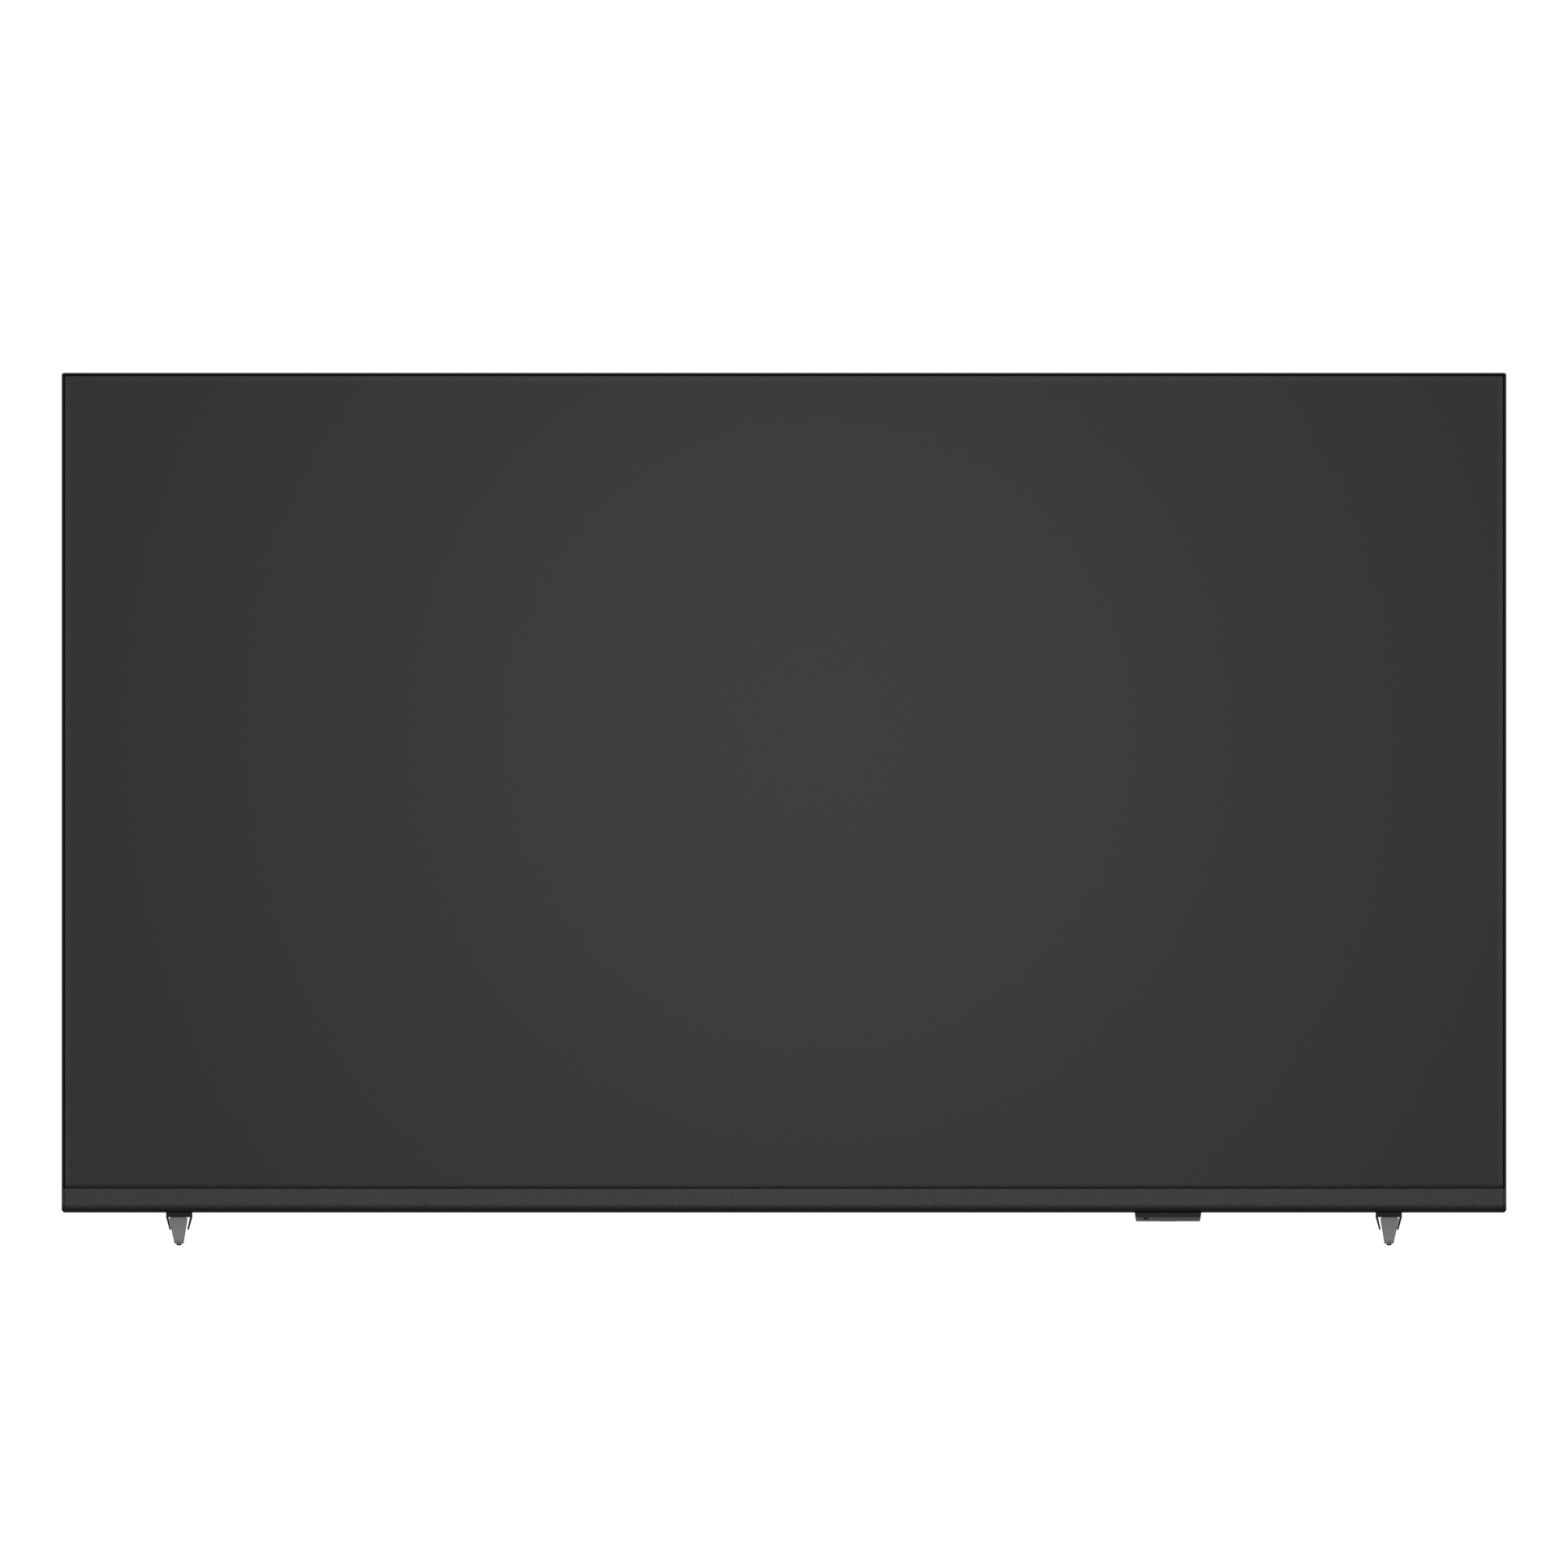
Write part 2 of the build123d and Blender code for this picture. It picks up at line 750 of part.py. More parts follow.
def board_plate(edges, spots):
    """A board's outline with its screw holes."""
    inset_box(*edges)
    with Locations(*[(x, up(h)) for x, h in spots]):
        Circle(screw_r + 0.1, mode=Mode.SUBTRACT)


def on_board(x, height, width, tall, deep, base=board_d + board_t):
    """A box on the back of a board: its middle across, its bottom edge, and its three sizes."""
    with Locations((x, behind(base), up(height))):
        Box(width, deep, tall, align=(Align.CENTER, Align.MIN, Align.MIN))


# Pan posts: turned posts riveted into the pan, short ones under the boards and four long ones for the cover.
cover_post_r = 4.5
screw_well = 4.2
cover_post_top_d = chassis_depth - screw_well - cover_t

with BuildPart() as pan_posts:
    for spots, radius, height in (
        (tall_spots, standoff_r, standoff_h),
        (low_spots, standoff_r, timing_standoff_h),
        (cover_post_spots, cover_post_r, cover_post_top_d - pan_back_d),
    ):
        with BuildSketch(facing(pan_back_d)):
            with Locations(*[(x, up(h)) for x, h in spots]):
                Circle(radius)
                Circle(screw_r, mode=Mode.SUBTRACT)
        extrude(amount=-height)
pan_posts.part.label = "pan_posts"
export_step(pan_posts.part, "parts/pan_posts.step")

board_screw_len = 5.0
cross_depth = 1.0

with BuildPart() as board_screws:
    for spots, top_d in ((tall_spots, board_d + board_t), (low_spots, timing_d + thin_board_t)):
        with BuildSketch(facing(top_d)):
            with Locations(*[(x, up(h)) for x, h in spots]):
                Circle(screw_head_r)
        extrude(amount=-screw_head_h)
        with BuildSketch(facing(top_d)):
            with Locations(*[(x, up(h)) for x, h in spots]):
                Circle(screw_r - 0.1)
        extrude(amount=min(board_screw_len, top_d - pan_back_d))
    for spots, top_d in ((tall_spots, board_d + board_t), (low_spots, timing_d + thin_board_t)):
        with BuildSketch(facing(top_d + screw_head_h)):
            with Locations(*[(x, up(h)) for x, h in spots]):
                Rectangle(3.4, 0.8)
                Rectangle(0.8, 3.4)
        extrude(amount=cross_depth, mode=Mode.SUBTRACT)
board_screws.part.label = "board_screws"
export_step(board_screws.part, "parts/board_screws.step")

# Power board with its plugs, wound parts and capacitors.
power_low = power_edges[2]
connector_low = power_low + 5.0
connector_h = 13.0

led_connector_x = power_edges[0] + 4.0
plug_t = 6.0

with BuildPart() as power_board:
    with BuildSketch(facing(board_d)):
        board_plate(power_edges, corner_spots(power_edges))
    extrude(amount=-board_t)
    on_board(inlet_x + 7.0, connector_low, 40.0, connector_h, 12.0)
    on_board(-180.0, connector_low, 36.0, 9.0, 9.0)
    on_board(led_connector_x, pan_mid_h - plug_t, 8.0, 2 * plug_t, plug_t)
power_board.part.label = "power_board"
export_step(power_board.part, "parts/power_board.step")

with BuildPart() as power_transformers:
    for x, height in ((-225.0, 250.0), (-225.0, 330.0), (-300.0, 360.0)):
        on_board(x, height, 42.0, 26.0, 14.0)
        on_board(x, height - 6.0, 30.0, 38.0, 11.0)
power_transformers.part.label = "power_transformers"
export_step(power_transformers.part, "parts/power_transformers.step")

capacitor_r = 7.5
capacitor_len = 36.0

with BuildPart() as power_capacitors:
    for height in (240.0, 262.0, 284.0):
        with Locations((-345.0, behind(board_d + board_t + capacitor_r), up(height))):
            Cylinder(capacitor_r, capacitor_len, rotation=(0, 90, 0))
    for x, height in ((-180.0, 260.0), (-180.0, 278.0), (-180.0, 296.0)):
        with Locations((x, behind(board_d + board_t), up(height))):
            Cylinder(5.0, 16.0, rotation=(-90, 0, 0), align=(Align.CENTER, Align.CENTER, Align.MIN))
power_capacitors.part.label = "power_capacitors"
export_step(power_capacitors.part, "parts/power_capacitors.step")

# Main board: processor under a heat sink, small parts, and the sockets along its right and bottom edges.
with BuildPart() as main_board:
    with BuildSketch(facing(board_d)):
        board_plate(main_edges, corner_spots(main_edges))
    extrude(amount=-board_t)
main_board.part.label = "main_board"
export_step(main_board.part, "parts/main_board.step")

sink_x, sink_low, sink_size = 230.0, 270.0, 52.0
processor_t = 2.4

# Heat sinks: a finned extrusion on the processor and two beside the power board's switching parts.
with BuildPart() as heat_sinks:
    sink_base_d = board_d + board_t + processor_t
    on_board(sink_x, sink_low, sink_size, sink_size, 3.0, base=sink_base_d)
    for fin in range(9):
        on_board(sink_x - 24.0 + fin * 6.0, sink_low, 1.4, sink_size, 11.0, base=sink_base_d)
    for x, height in ((-275.0, 232.0), (-390.0, 300.0)):
        on_board(x, height, 3.0, 70.0, 17.0)
        for fin in range(6):
            on_board(x + 6.5, height + 4.0 + fin * 12.0, 10.0, 1.5, 15.0)
heat_sinks.part.label = "heat_sinks"
export_step(heat_sinks.part, "parts/heat_sinks.step")

edge_plug_w = 5.0
edge_plug_x = main_edges[0] + edge_plug_w / 2
ribbon_low, ribbon_high = 172.0, 194.0
sensor_plug_x = 300.0

with BuildPart() as main_board_parts:
    on_board(sink_x, sink_low + 12.0, 28.0, 28.0, processor_t)
    for x, height in ((190.0, 290.0), (190.0, 310.0)):
        on_board(x, height, 12.0, 9.0, 1.2)
    for x in (170.0, 184.0, 198.0):
        with Locations((x, behind(board_d + board_t), up(350.0))):
            Cylinder(4.0, 9.0, rotation=(-90, 0, 0), align=(Align.CENTER, Align.CENTER, Align.MIN))
    on_board(236.0, 352.0, 12.0, 12.0, 5.0)
    on_board(256.0, 352.0, 12.0, 12.0, 5.0)
    on_board(edge_plug_x, ribbon_low - 2.0, edge_plug_w, ribbon_high - ribbon_low + 4.0, 3.4)
    on_board(edge_plug_x, 210.0, edge_plug_w, 16.0, 6.0)
    on_board(sensor_plug_x, main_edges[3] - 6.0, 10.0, 6.0, 5.0)
    on_board(172.0, 372.0, 14.0, 8.0, 8.0)
main_board_parts.part.label = "main_board_parts"
export_step(main_board_parts.part, "parts/main_board_parts.step")

# Video sockets: folded metal shells that face the side recess, each with its tongue.
socket_face_x = side_recess[0]
video_heights = (200.0, 226.0, 252.0)
video_w, video_t, video_len = 15.0, 6.0, 12.0
usb_heights = (284.0, 312.0)
usb_w, usb_t, usb_len = 14.5, 7.0, 14.0
shell_t = 0.6


def side_socket(height, wide, thick, long, tongue_w, tongue_t, tongue_d):
    """A shell from its closed end to the recess, open towards it, with a tongue standing in it."""
    with Locations((socket_face_x, behind(board_d + board_t), up(height))):
        Box(long, thick, wide, align=(Align.MAX, Align.MIN, Align.CENTER))
    with Locations((socket_face_x, behind(board_d + board_t + shell_t), up(height))):
        Box(
            long - 2.0,
            thick - 2 * shell_t,
            wide - 2 * shell_t,
            align=(Align.MAX, Align.MIN, Align.CENTER),
            mode=Mode.SUBTRACT,
        )
    with Locations((socket_face_x - 1.5, behind(board_d + board_t + tongue_d), up(height))):
        Box(long - 1.5, tongue_t, tongue_w, align=(Align.MAX, Align.MIN, Align.CENTER))


with BuildPart() as video_sockets:
    for height in video_heights:
        side_socket(height, video_w, video_t, video_len, 11.0, 1.2, 2.4)
video_sockets.part.label = "video_sockets"
export_step(video_sockets.part, "parts/video_sockets.step")

with BuildPart() as usb_sockets:
    for height in usb_heights:
        side_socket(height, usb_w, usb_t, usb_len, 11.2, 1.8, 3.9)
usb_sockets.part.label = "usb_sockets"
export_step(usb_sockets.part, "parts/usb_sockets.step")

# Network socket: a moulded box on the board's bottom edge, open downwards into the lower recess.
network_x, network_w, network_t, network_h = 296.0, 16.0, 13.6, 17.0
network_bore_w, network_bore_t, network_bore_h = 12.0, 9.0, 13.0

with BuildPart() as network_socket:
    on_board(network_x, recess_roof, network_w, network_h, network_t)
    with Locations((network_x, behind(board_d + board_t + 2.3), up(recess_roof))):
        Box(
            network_bore_w,
            network_bore_t,
            network_bore_h,
            align=(Align.CENTER, Align.MIN, Align.MIN),
            mode=Mode.SUBTRACT,
        )
network_socket.part.label = "network_socket"
export_step(network_socket.part, "parts/network_socket.step")

# Sound and control sockets: two 3.5 mm jacks in moulded bodies with a short bush, and an optical socket,
# a small box whose square hole has its shutter down.
jack_xs = (234.0, 258.0)
jack_body_w, jack_body_h, jack_body_t = 12.0, 13.0, 10.0
jack_bore_r, jack_bush_r = 1.8, 4.0
jack_d = board_d + board_t + jack_body_t / 2

optical_x, optical_w = 204.0, 10.0

with BuildPart() as sound_sockets:
    for x in jack_xs:
        on_board(x, recess_roof + cover_t + 0.3, jack_body_w, jack_body_h, jack_body_t)
        with Locations((x, behind(jack_d), up(recess_roof))):
            Cylinder(jack_bush_r, cover_t + 0.3, align=(Align.CENTER, Align.CENTER, Align.MIN))
            Cylinder(
                jack_bore_r,
                cover_t + jack_body_h - 2.0,
                align=(Align.CENTER, Align.CENTER, Align.MIN),
                mode=Mode.SUBTRACT,
            )
    on_board(optical_x, recess_roof, optical_w, 14.0, optical_w)
    with Locations((optical_x, behind(board_d + board_t + optical_w / 2), up(recess_roof))):
        Box(6.4, 6.4, 2.0, align=(Align.CENTER, Align.CENTER, Align.MIN), mode=Mode.SUBTRACT)
sound_sockets.part.label = "sound_sockets"
export_step(sound_sockets.part, "parts/sound_sockets.step")

# Timing board, source boards and the flexes that carry the rows and columns to the glass.
timing_back_d = timing_d + thin_board_t

with BuildPart() as timing_board:
    with BuildSketch(facing(timing_d)):
        board_plate(timing_edges, low_spots)
    extrude(amount=-thin_board_t)
    on_board(0, 168.0, 20.0, 20.0, 1.4, base=timing_back_d)
    on_board(-28.0, 182.0, 9.0, 12.0, 1.1, base=timing_back_d)
    on_board(14.0, 156.0, 7.0, 7.0, 2.0, base=timing_back_d)
timing_board.part.label = "timing_board"
export_step(timing_board.part, "parts/timing_board.step")

source_board_low = 9.9
source_board_d = (14.5, 26.5)
source_board_x = (20.0, 560.0)
flex_t = 0.15
flex_w = 40.0
flexes_each = 6
flex_bend = 2.2

with BuildPart() as source_boards:
    for side in (-1, 1):
        with BuildSketch(Plane.XY.offset(up(source_board_low))):
            with Locations((side * sum(source_board_x) / 2, behind(sum(source_board_d) / 2))):
                Rectangle(source_board_x[1] - source_board_x[0], source_board_d[1] - source_board_d[0])
        extrude(amount=thin_board_t)
source_boards.part.label = "source_boards"
export_step(source_boards.part, "parts/source_boards.step")

flex_front_d = tft_glass_d - flex_t / 2
flex_low = source_board_low - flex_t / 2
flex_pitch = (source_board_x[1] - source_board_x[0]) / flexes_each
flex_line = [
    (flex_front_d, filter_glass_low - 0.3),
    (flex_front_d, flex_low),
    (source_board_d[0] + 2.0, flex_low),
]
flex_starts = [
    side * (source_board_x[0] + flex_pitch * (i + 0.5)) - flex_w / 2
    for side in (-1, 1)
    for i in range(flexes_each)
]
flexes = [strip(flex_line, start, flex_w, flex_t, flex_bend) for start in flex_starts]

with BuildPart() as driver_flexes:
    add(flexes)
driver_flexes.part.label = "driver_flexes"
export_step(driver_flexes.part, "parts/driver_flexes.step")

# Flat cables: two from the timing board down to the source boards, one across to the main board.
flat_w = 30.0
flat_down_d = pan_back_d + 0.3
flat_down_line = [
    (timing_back_d + flat_cable_t / 2, timing_edges[2] + 10.0),
    (timing_back_d + flat_cable_t / 2, timing_edges[2] - 4.0),
    (flat_down_d, timing_edges[2] - 14.0),
    (flat_down_d, source_board_low + thin_board_t + 3.6),
    (sum(source_board_d) / 2 + 2.0, source_board_low + thin_board_t + 3.6),
    (sum(source_board_d) / 2 + 2.0, source_board_low + thin_board_t),
]
down_cables = [strip(flat_down_line, x - flat_w / 2, flat_w, flat_cable_t, 1.4) for x in (-36.0, 36.0)]

ribbon_over_d = channel_back_d + 1.4
ribbon_plug_d = board_d + board_t + 1.7
ribbon_line = [
    (40.0, timing_back_d + flat_cable_t / 2),
    (64.0, timing_back_d + flat_cable_t / 2),
    (74.0, ribbon_over_d),
    (136.0, ribbon_over_d),
    (142.0, ribbon_plug_d),
    (main_edges[0], ribbon_plug_d),
]

with BuildPart() as flat_cables:
    add(down_cables)
    with BuildSketch(Plane.XY.offset(up(ribbon_low))):
        with BuildLine():
            FilletPolyline(*[(x, behind(d)) for x, d in ribbon_line], radius=1.6)
        trace(line_width=flat_cable_t)
    extrude(amount=ribbon_high - ribbon_low)
flat_cables.part.label = "flat_cables"
export_step(flat_cables.part, "parts/flat_cables.step")

# Rear cover: one moulded shell, a flat tray that tapers from the rim, with a deeper box over the electronics.
# Two recesses are let into the box: one for the sockets, L shaped, and one for the mains inlet and switch.
cover_front_d = bezel_depth + cap_gap
box_front_d = tray_depth - 6.0
box_half_w = bulge_w / 2
recess_corner = 5.0
box_corner = 18.0
back_bevel = 3.0
vent_w, vent_h, vent_pitch, vents_each = 2.4, 18.0, 9.0, 46
vent_x = 270.0
vent_levels = (72.0, 455.0)
screw_boss_r = 4.2
well_r = 3.3
well_wall = 2.2
grille_pitch, grille_count = 4.0, 18
socket_gap = 0.3
inlet_body_w, inlet_body_d, inlet_body_h = 27.0, 19.8, 20.0
switch_body_w, switch_body_d, switch_body_h = 19.0, 12.8, 19.0
roof_plane = Plane.XY.offset(up(recess_roof))


def box_outline(inset):
    """The deep box's outline, drawn in at the sides and top, with its two top corners cut."""
    side = box_half_w - inset
    top = bulge_h - inset
    Polygon(
        (-side, up(0)),
        (-side, up(top - box_corner)),
        (-side + box_corner, up(top)),
        (side - box_corner, up(top)),
        (side, up(top - box_corner)),
        (side, up(0)),
        align=None,
    )


with BuildPart() as rear_cover:
    with BuildSketch(facing(cover_front_d)):
        inset_box(cover_inset - half_w, half_w - cover_inset, 0, chassis_h - cover_inset)
    with BuildSketch(facing(tray_depth)):
        inset_box(cover_slope - half_w, half_w - cover_slope, 0, chassis_h - cover_slope)
    loft()
    for near_d, far_d, near_inset, far_inset in (
        (box_front_d, chassis_depth - back_bevel, 0, bulge_slope),
        (chassis_depth - back_bevel, chassis_depth, bulge_slope, bulge_slope + back_bevel),
    ):
        with BuildSketch(facing(near_d)):
            box_outline(near_inset)
        with BuildSketch(facing(far_d)):
            box_outline(far_inset)
        loft()
    with BuildSketch(facing(chassis_depth)):
        inset_box(*side_recess, recess_low, side_recess_top)
        inset_box(lower_recess_left, side_recess[1], recess_low, recess_roof)
        inset_box(*power_recess, recess_low, recess_roof)
    extrude(amount=chassis_depth - recess_floor, mode=Mode.SUBTRACT)
    fillet(rear_cover.edges().filter_by(Axis.Y), recess_corner)
    front_face = rear_cover.faces().filter_by(Axis.Y).sort_by(Axis.Y)[0]
    offset(amount=-cover_t, openings=front_face)
    with BuildSketch(facing(cover_front_d)):
        with Locations((0, up(chassis_h / 2))):
            RectangleRounded(chassis_w, chassis_h, bezel_corner)
    extrude(amount=cover_front_d - chassis_depth, mode=Mode.INTERSECT)

    with BuildSketch(facing(pan_back_d)):
        with Locations(*[(x, up(h)) for x, h in edge_screw_spots]):
            Circle(screw_boss_r)
    extrude(amount=pan_back_d - tray_depth + cover_t)
    with BuildSketch(facing(pan_back_d)):
        with Locations(*[(x, up(h)) for x, h in edge_screw_spots]):
            Circle(screw_r + 0.2)
    extrude(amount=pan_back_d - tray_depth, mode=Mode.SUBTRACT)

    with BuildSketch(facing(cover_post_top_d)):
        with Locations(*[(x, up(h)) for x, h in cover_post_spots]):
            Circle(well_r + well_wall)
    extrude(amount=cover_post_top_d - chassis_depth + cover_t)
    with BuildSketch(facing(chassis_depth)):
        with Locations(*[(x, up(h)) for x, h in cover_post_spots]):
            Circle(well_r)
    extrude(amount=screw_well, mode=Mode.SUBTRACT)
    with BuildSketch(facing(chassis_depth)):
        with Locations(*[(x, up(h)) for x, h in cover_post_spots]):
            Circle(screw_r + 0.2)
        with Locations(*[(x, up(h)) for x, h in mount_spots]):
            Circle(mount_boss_r + socket_gap)
        for level in vent_levels:
            for side in (-1, 1):
                with Locations((side * vent_x, up(level))):
                    with GridLocations(vent_pitch, 0, vents_each, 1):
                        SlotOverall(vent_h, vent_w, rotation=90)
    extrude(amount=chassis_depth - cover_post_top_d, mode=Mode.SUBTRACT)

    with BuildSketch(roof_plane):
        socket_back = board_d + board_t
        with Locations((network_x, behind(socket_back + network_t / 2))):
            Rectangle(network_w + 2 * socket_gap, network_t + 2 * socket_gap)
        with Locations(*[(x, behind(jack_d)) for x in jack_xs]):
            Circle(jack_bush_r + socket_gap)
        with Locations((optical_x, behind(socket_back + optical_w / 2))):
            Rectangle(optical_w + 2 * socket_gap, optical_w + 2 * socket_gap)
        with Locations((inlet_x, behind(power_row_d))):
            Rectangle(inlet_body_w + 2 * socket_gap, inlet_body_d + 2 * socket_gap)
        with Locations((switch_x, behind(power_row_d))):
            Rectangle(switch_body_w + 2 * socket_gap, switch_body_d + 2 * socket_gap)
    extrude(amount=cover_t, mode=Mode.SUBTRACT)
    for heights, wide, thick in ((video_heights, video_w, video_t), (usb_heights, usb_w, usb_t)):
        with BuildSketch(Plane.YZ.offset(socket_face_x)):
            with Locations(*[(behind(socket_back + thick / 2), up(h)) for h in heights]):
                Rectangle(thick + 2 * socket_gap, wide + 2 * socket_gap)
        extrude(amount=-cover_t, mode=Mode.SUBTRACT)

    with BuildSketch(Plane.XY.offset(up(0))):
        with Locations(*foot_spots):
            Circle(foot_screw_r + 0.2)
        for side in (-1, 1):
            with Locations((side * speaker_x, behind(speaker_mid_d))):
                with GridLocations(grille_pitch, 0, grille_count, 1):
                    SlotOverall(cone_w, 2.0, rotation=90)
    extrude(amount=cover_t, mode=Mode.SUBTRACT)
rear_cover.part.label = "rear_cover"
export_step(rear_cover.part, "parts/rear_cover.step")

# Cover screws: ten pan heads round the edge, four down in their wells.
edge_screw_len = 5.5
post_screw_len = 10.0

with BuildPart() as cover_screws:
    for spots, seat_d, length in (
        (edge_screw_spots, tray_depth, edge_screw_len),
        (cover_post_spots, chassis_depth - screw_well, post_screw_len),
    ):
        with BuildSketch(facing(seat_d)):
            with Locations(*[(x, up(h)) for x, h in spots]):
                Circle(screw_head_r)
        extrude(amount=-screw_head_h)
        with BuildSketch(facing(seat_d)):
            with Locations(*[(x, up(h)) for x, h in spots]):
                Circle(screw_r - 0.1)
        extrude(amount=length)
        with BuildSketch(facing(seat_d + screw_head_h)):
            with Locations(*[(x, up(h)) for x, h in spots]):
                Rectangle(3.4, 0.8)
                Rectangle(0.8, 3.4)
        extrude(amount=cross_depth, mode=Mode.SUBTRACT)
cover_screws.part.label = "cover_screws"
export_step(cover_screws.part, "parts/cover_screws.step")

# Mains inlet: a moulded three pin appliance inlet, clipped into the power recess's roof and open downwards.
inlet_flange_w, inlet_flange_d, inlet_flange_t = 30.7, 23.5, 2.5
inlet_bore_w, inlet_bore_d, inlet_bore_h = 24.6, 16.2, 16.5
inlet_chamfer = 4.5
pin_w, pin_t, pin_low, pin_high = 4.0, 2.0, 166.5, 190.0
pin_pitch = 7.0
earth_shift = 4.0
pin_spots = [
    (inlet_x - pin_pitch, behind(power_row_d - 1.5)),
    (inlet_x + pin_pitch, behind(power_row_d - 1.5)),
    (inlet_x, behind(power_row_d - 1.5 + earth_shift)),
]

with BuildPart() as mains_inlet:
    with BuildSketch(roof_plane):
        with Locations((inlet_x, behind(power_row_d))):
            RectangleRounded(inlet_flange_w, inlet_flange_d, 2.0)
    extrude(amount=-inlet_flange_t)
    with BuildSketch(roof_plane):
        with Locations((inlet_x, behind(power_row_d))):
            Rectangle(inlet_body_w, inlet_body_d)
    extrude(amount=inlet_body_h)
    with BuildSketch(Plane.XY.offset(up(recess_roof - inlet_flange_t))) as bore:
        with Locations((inlet_x, behind(power_row_d))):
            Rectangle(inlet_bore_w, inlet_bore_d)
        chamfer(bore.vertices().group_by(Axis.Y)[-1], inlet_chamfer)
    extrude(amount=inlet_bore_h, mode=Mode.SUBTRACT)
    with BuildSketch(roof_plane):
        with Locations(*pin_spots):
            Rectangle(pin_t + 0.1, pin_w + 0.1)
    extrude(amount=inlet_body_h, mode=Mode.SUBTRACT)
mains_inlet.part.label = "mains_inlet"
export_step(mains_inlet.part, "parts/mains_inlet.step")

with BuildPart() as inlet_pins:
    with BuildSketch(Plane.XY.offset(up(pin_low))):
        with Locations(*pin_spots):
            Rectangle(pin_t, pin_w)
    extrude(amount=pin_high - pin_low)
    pin_tips = inlet_pins.faces().filter_by(Axis.Z).group_by(Axis.Z)[0].edges()
    chamfer(pin_tips, 0.5)
inlet_pins.part.label = "inlet_pins"
export_step(inlet_pins.part, "parts/inlet_pins.step")

# Mains switch: a body clipped in beside the inlet, and a rocker that tips on two pins in its side walls.
# The rocker's ends are arcs about the pins. Its face is a shallow V, so that one half lies flush at a time.
switch_flange_w, switch_flange_d, switch_flange_t = 21.0, 15.0, 2.0
rocker_gap = 0.35
rocker_r = rocker_len / 2 + 0.2
rocker_pivot_h = recess_roof + 1.0
rocker_face = 2.0
rocker_inner = 4.0
rocker_pin_r, rocker_pin_reach = 1.0, 6.2
rocker_rise = rocker_r * tan(radians(rocker_swing / 2))
switch_bore_h = 11.0
contact_w, contact_t, contact_h = 5.0, 0.8, 6.0

with BuildPart() as switch_body:
    with BuildSketch(roof_plane):
        with Locations((switch_x, behind(power_row_d))):
            RectangleRounded(switch_flange_w, switch_flange_d, 1.0)
    extrude(amount=-switch_flange_t)
    with BuildSketch(roof_plane):
        with Locations((switch_x, behind(power_row_d))):
            Rectangle(switch_body_w, switch_body_d)
    extrude(amount=switch_body_h)
    with BuildSketch(Plane.XY.offset(up(recess_roof - switch_flange_t))):
        with Locations((switch_x, behind(power_row_d))):
            Rectangle(2 * (rocker_r + rocker_gap), rocker_w + 2 * rocker_gap)
    extrude(amount=switch_flange_t + switch_bore_h, mode=Mode.SUBTRACT)
    with Locations((switch_x, behind(power_row_d), up(rocker_pivot_h))):
        Cylinder(rocker_pin_r + 0.2, 2 * rocker_pin_reach + 0.3, rotation=(90, 0, 0), mode=Mode.SUBTRACT)
    with BuildSketch(Plane.XY.offset(up(recess_roof + switch_body_h))):
        with Locations((switch_x, behind(power_row_d))):
            with GridLocations(10.0, 0, 2, 1):
                Rectangle(contact_t, contact_w)
    extrude(amount=contact_h)
switch_body.part.label = "switch_body"
export_step(switch_body.part, "parts/switch_body.step")

rest_tilt = radians(rocker_swing / 2)
rocker_plane = Plane(
    (switch_x, behind(power_row_d), up(rocker_pivot_h)),
    x_dir=(cos(rest_tilt), 0, sin(rest_tilt)),
    z_dir=(0, -1, 0),
)

with BuildPart() as switch_rocker:
    with BuildSketch(rocker_plane):
        Circle(rocker_r)
        Polygon(
            (-rocker_r, -rocker_face - rocker_rise),
            (0, -rocker_face),
            (rocker_r, -rocker_face - rocker_rise),
            (rocker_r, rocker_inner),
            (-rocker_r, rocker_inner),
            align=None,
            mode=Mode.INTERSECT,
        )
    extrude(amount=rocker_w / 2, both=True)
    with BuildSketch(rocker_plane):
        Circle(rocker_pin_r)
    extrude(amount=rocker_pin_reach, both=True)
switch_rocker.part.label = "switch_rocker"
export_step(switch_rocker.part, "parts/switch_rocker.step")

# Loudspeakers: a sealed box each, standing on the floor of the cover and firing down through its slots.
# A pressed basket carries the magnet. The cone and its coil move as one, free of the basket all round.
speaker_low = cover_t
frame_low_h = speaker_low + speaker_wall
basket_t = 1.5
cone_gap = 0.3
roll_w = 0.7
basket_w = cone_len + 14.0
basket_d = cone_w + 8.0
opening_len = cone_len + 2 * (roll_w + cone_gap)
opening_w = cone_w + 2 * (roll_w + cone_gap)
magnet_plate_h = frame_low_h + 8.8
coil_r, coil_t = 6.2, 0.7
coil_gap = 0.4

with BuildPart() as speaker_boxes:
    for side in (-1, 1):
        with Locations((side * speaker_x, behind(speaker_mid_d), up(speaker_low))):
            Box(speaker_w, speaker_d, speaker_h, align=(Align.CENTER, Align.CENTER, Align.MIN))
    fillet(speaker_boxes.edges().filter_by(Axis.Z), 3.0)
    for side in (-1, 1):
        with Locations((side * speaker_x, behind(speaker_mid_d), up(frame_low_h))):
            Box(
                speaker_w - 2 * speaker_wall,
                speaker_d - 2 * speaker_wall,
                speaker_h - 2 * speaker_wall,
                align=(Align.CENTER, Align.CENTER, Align.MIN),
                mode=Mode.SUBTRACT,
            )
    with BuildSketch(Plane.XY.offset(up(speaker_low))):
        with Locations((-speaker_x, behind(speaker_mid_d)), (speaker_x, behind(speaker_mid_d))):
            SlotOverall(opening_len, opening_w)
    extrude(amount=speaker_wall, mode=Mode.SUBTRACT)
speaker_boxes.part.label = "speaker_boxes"
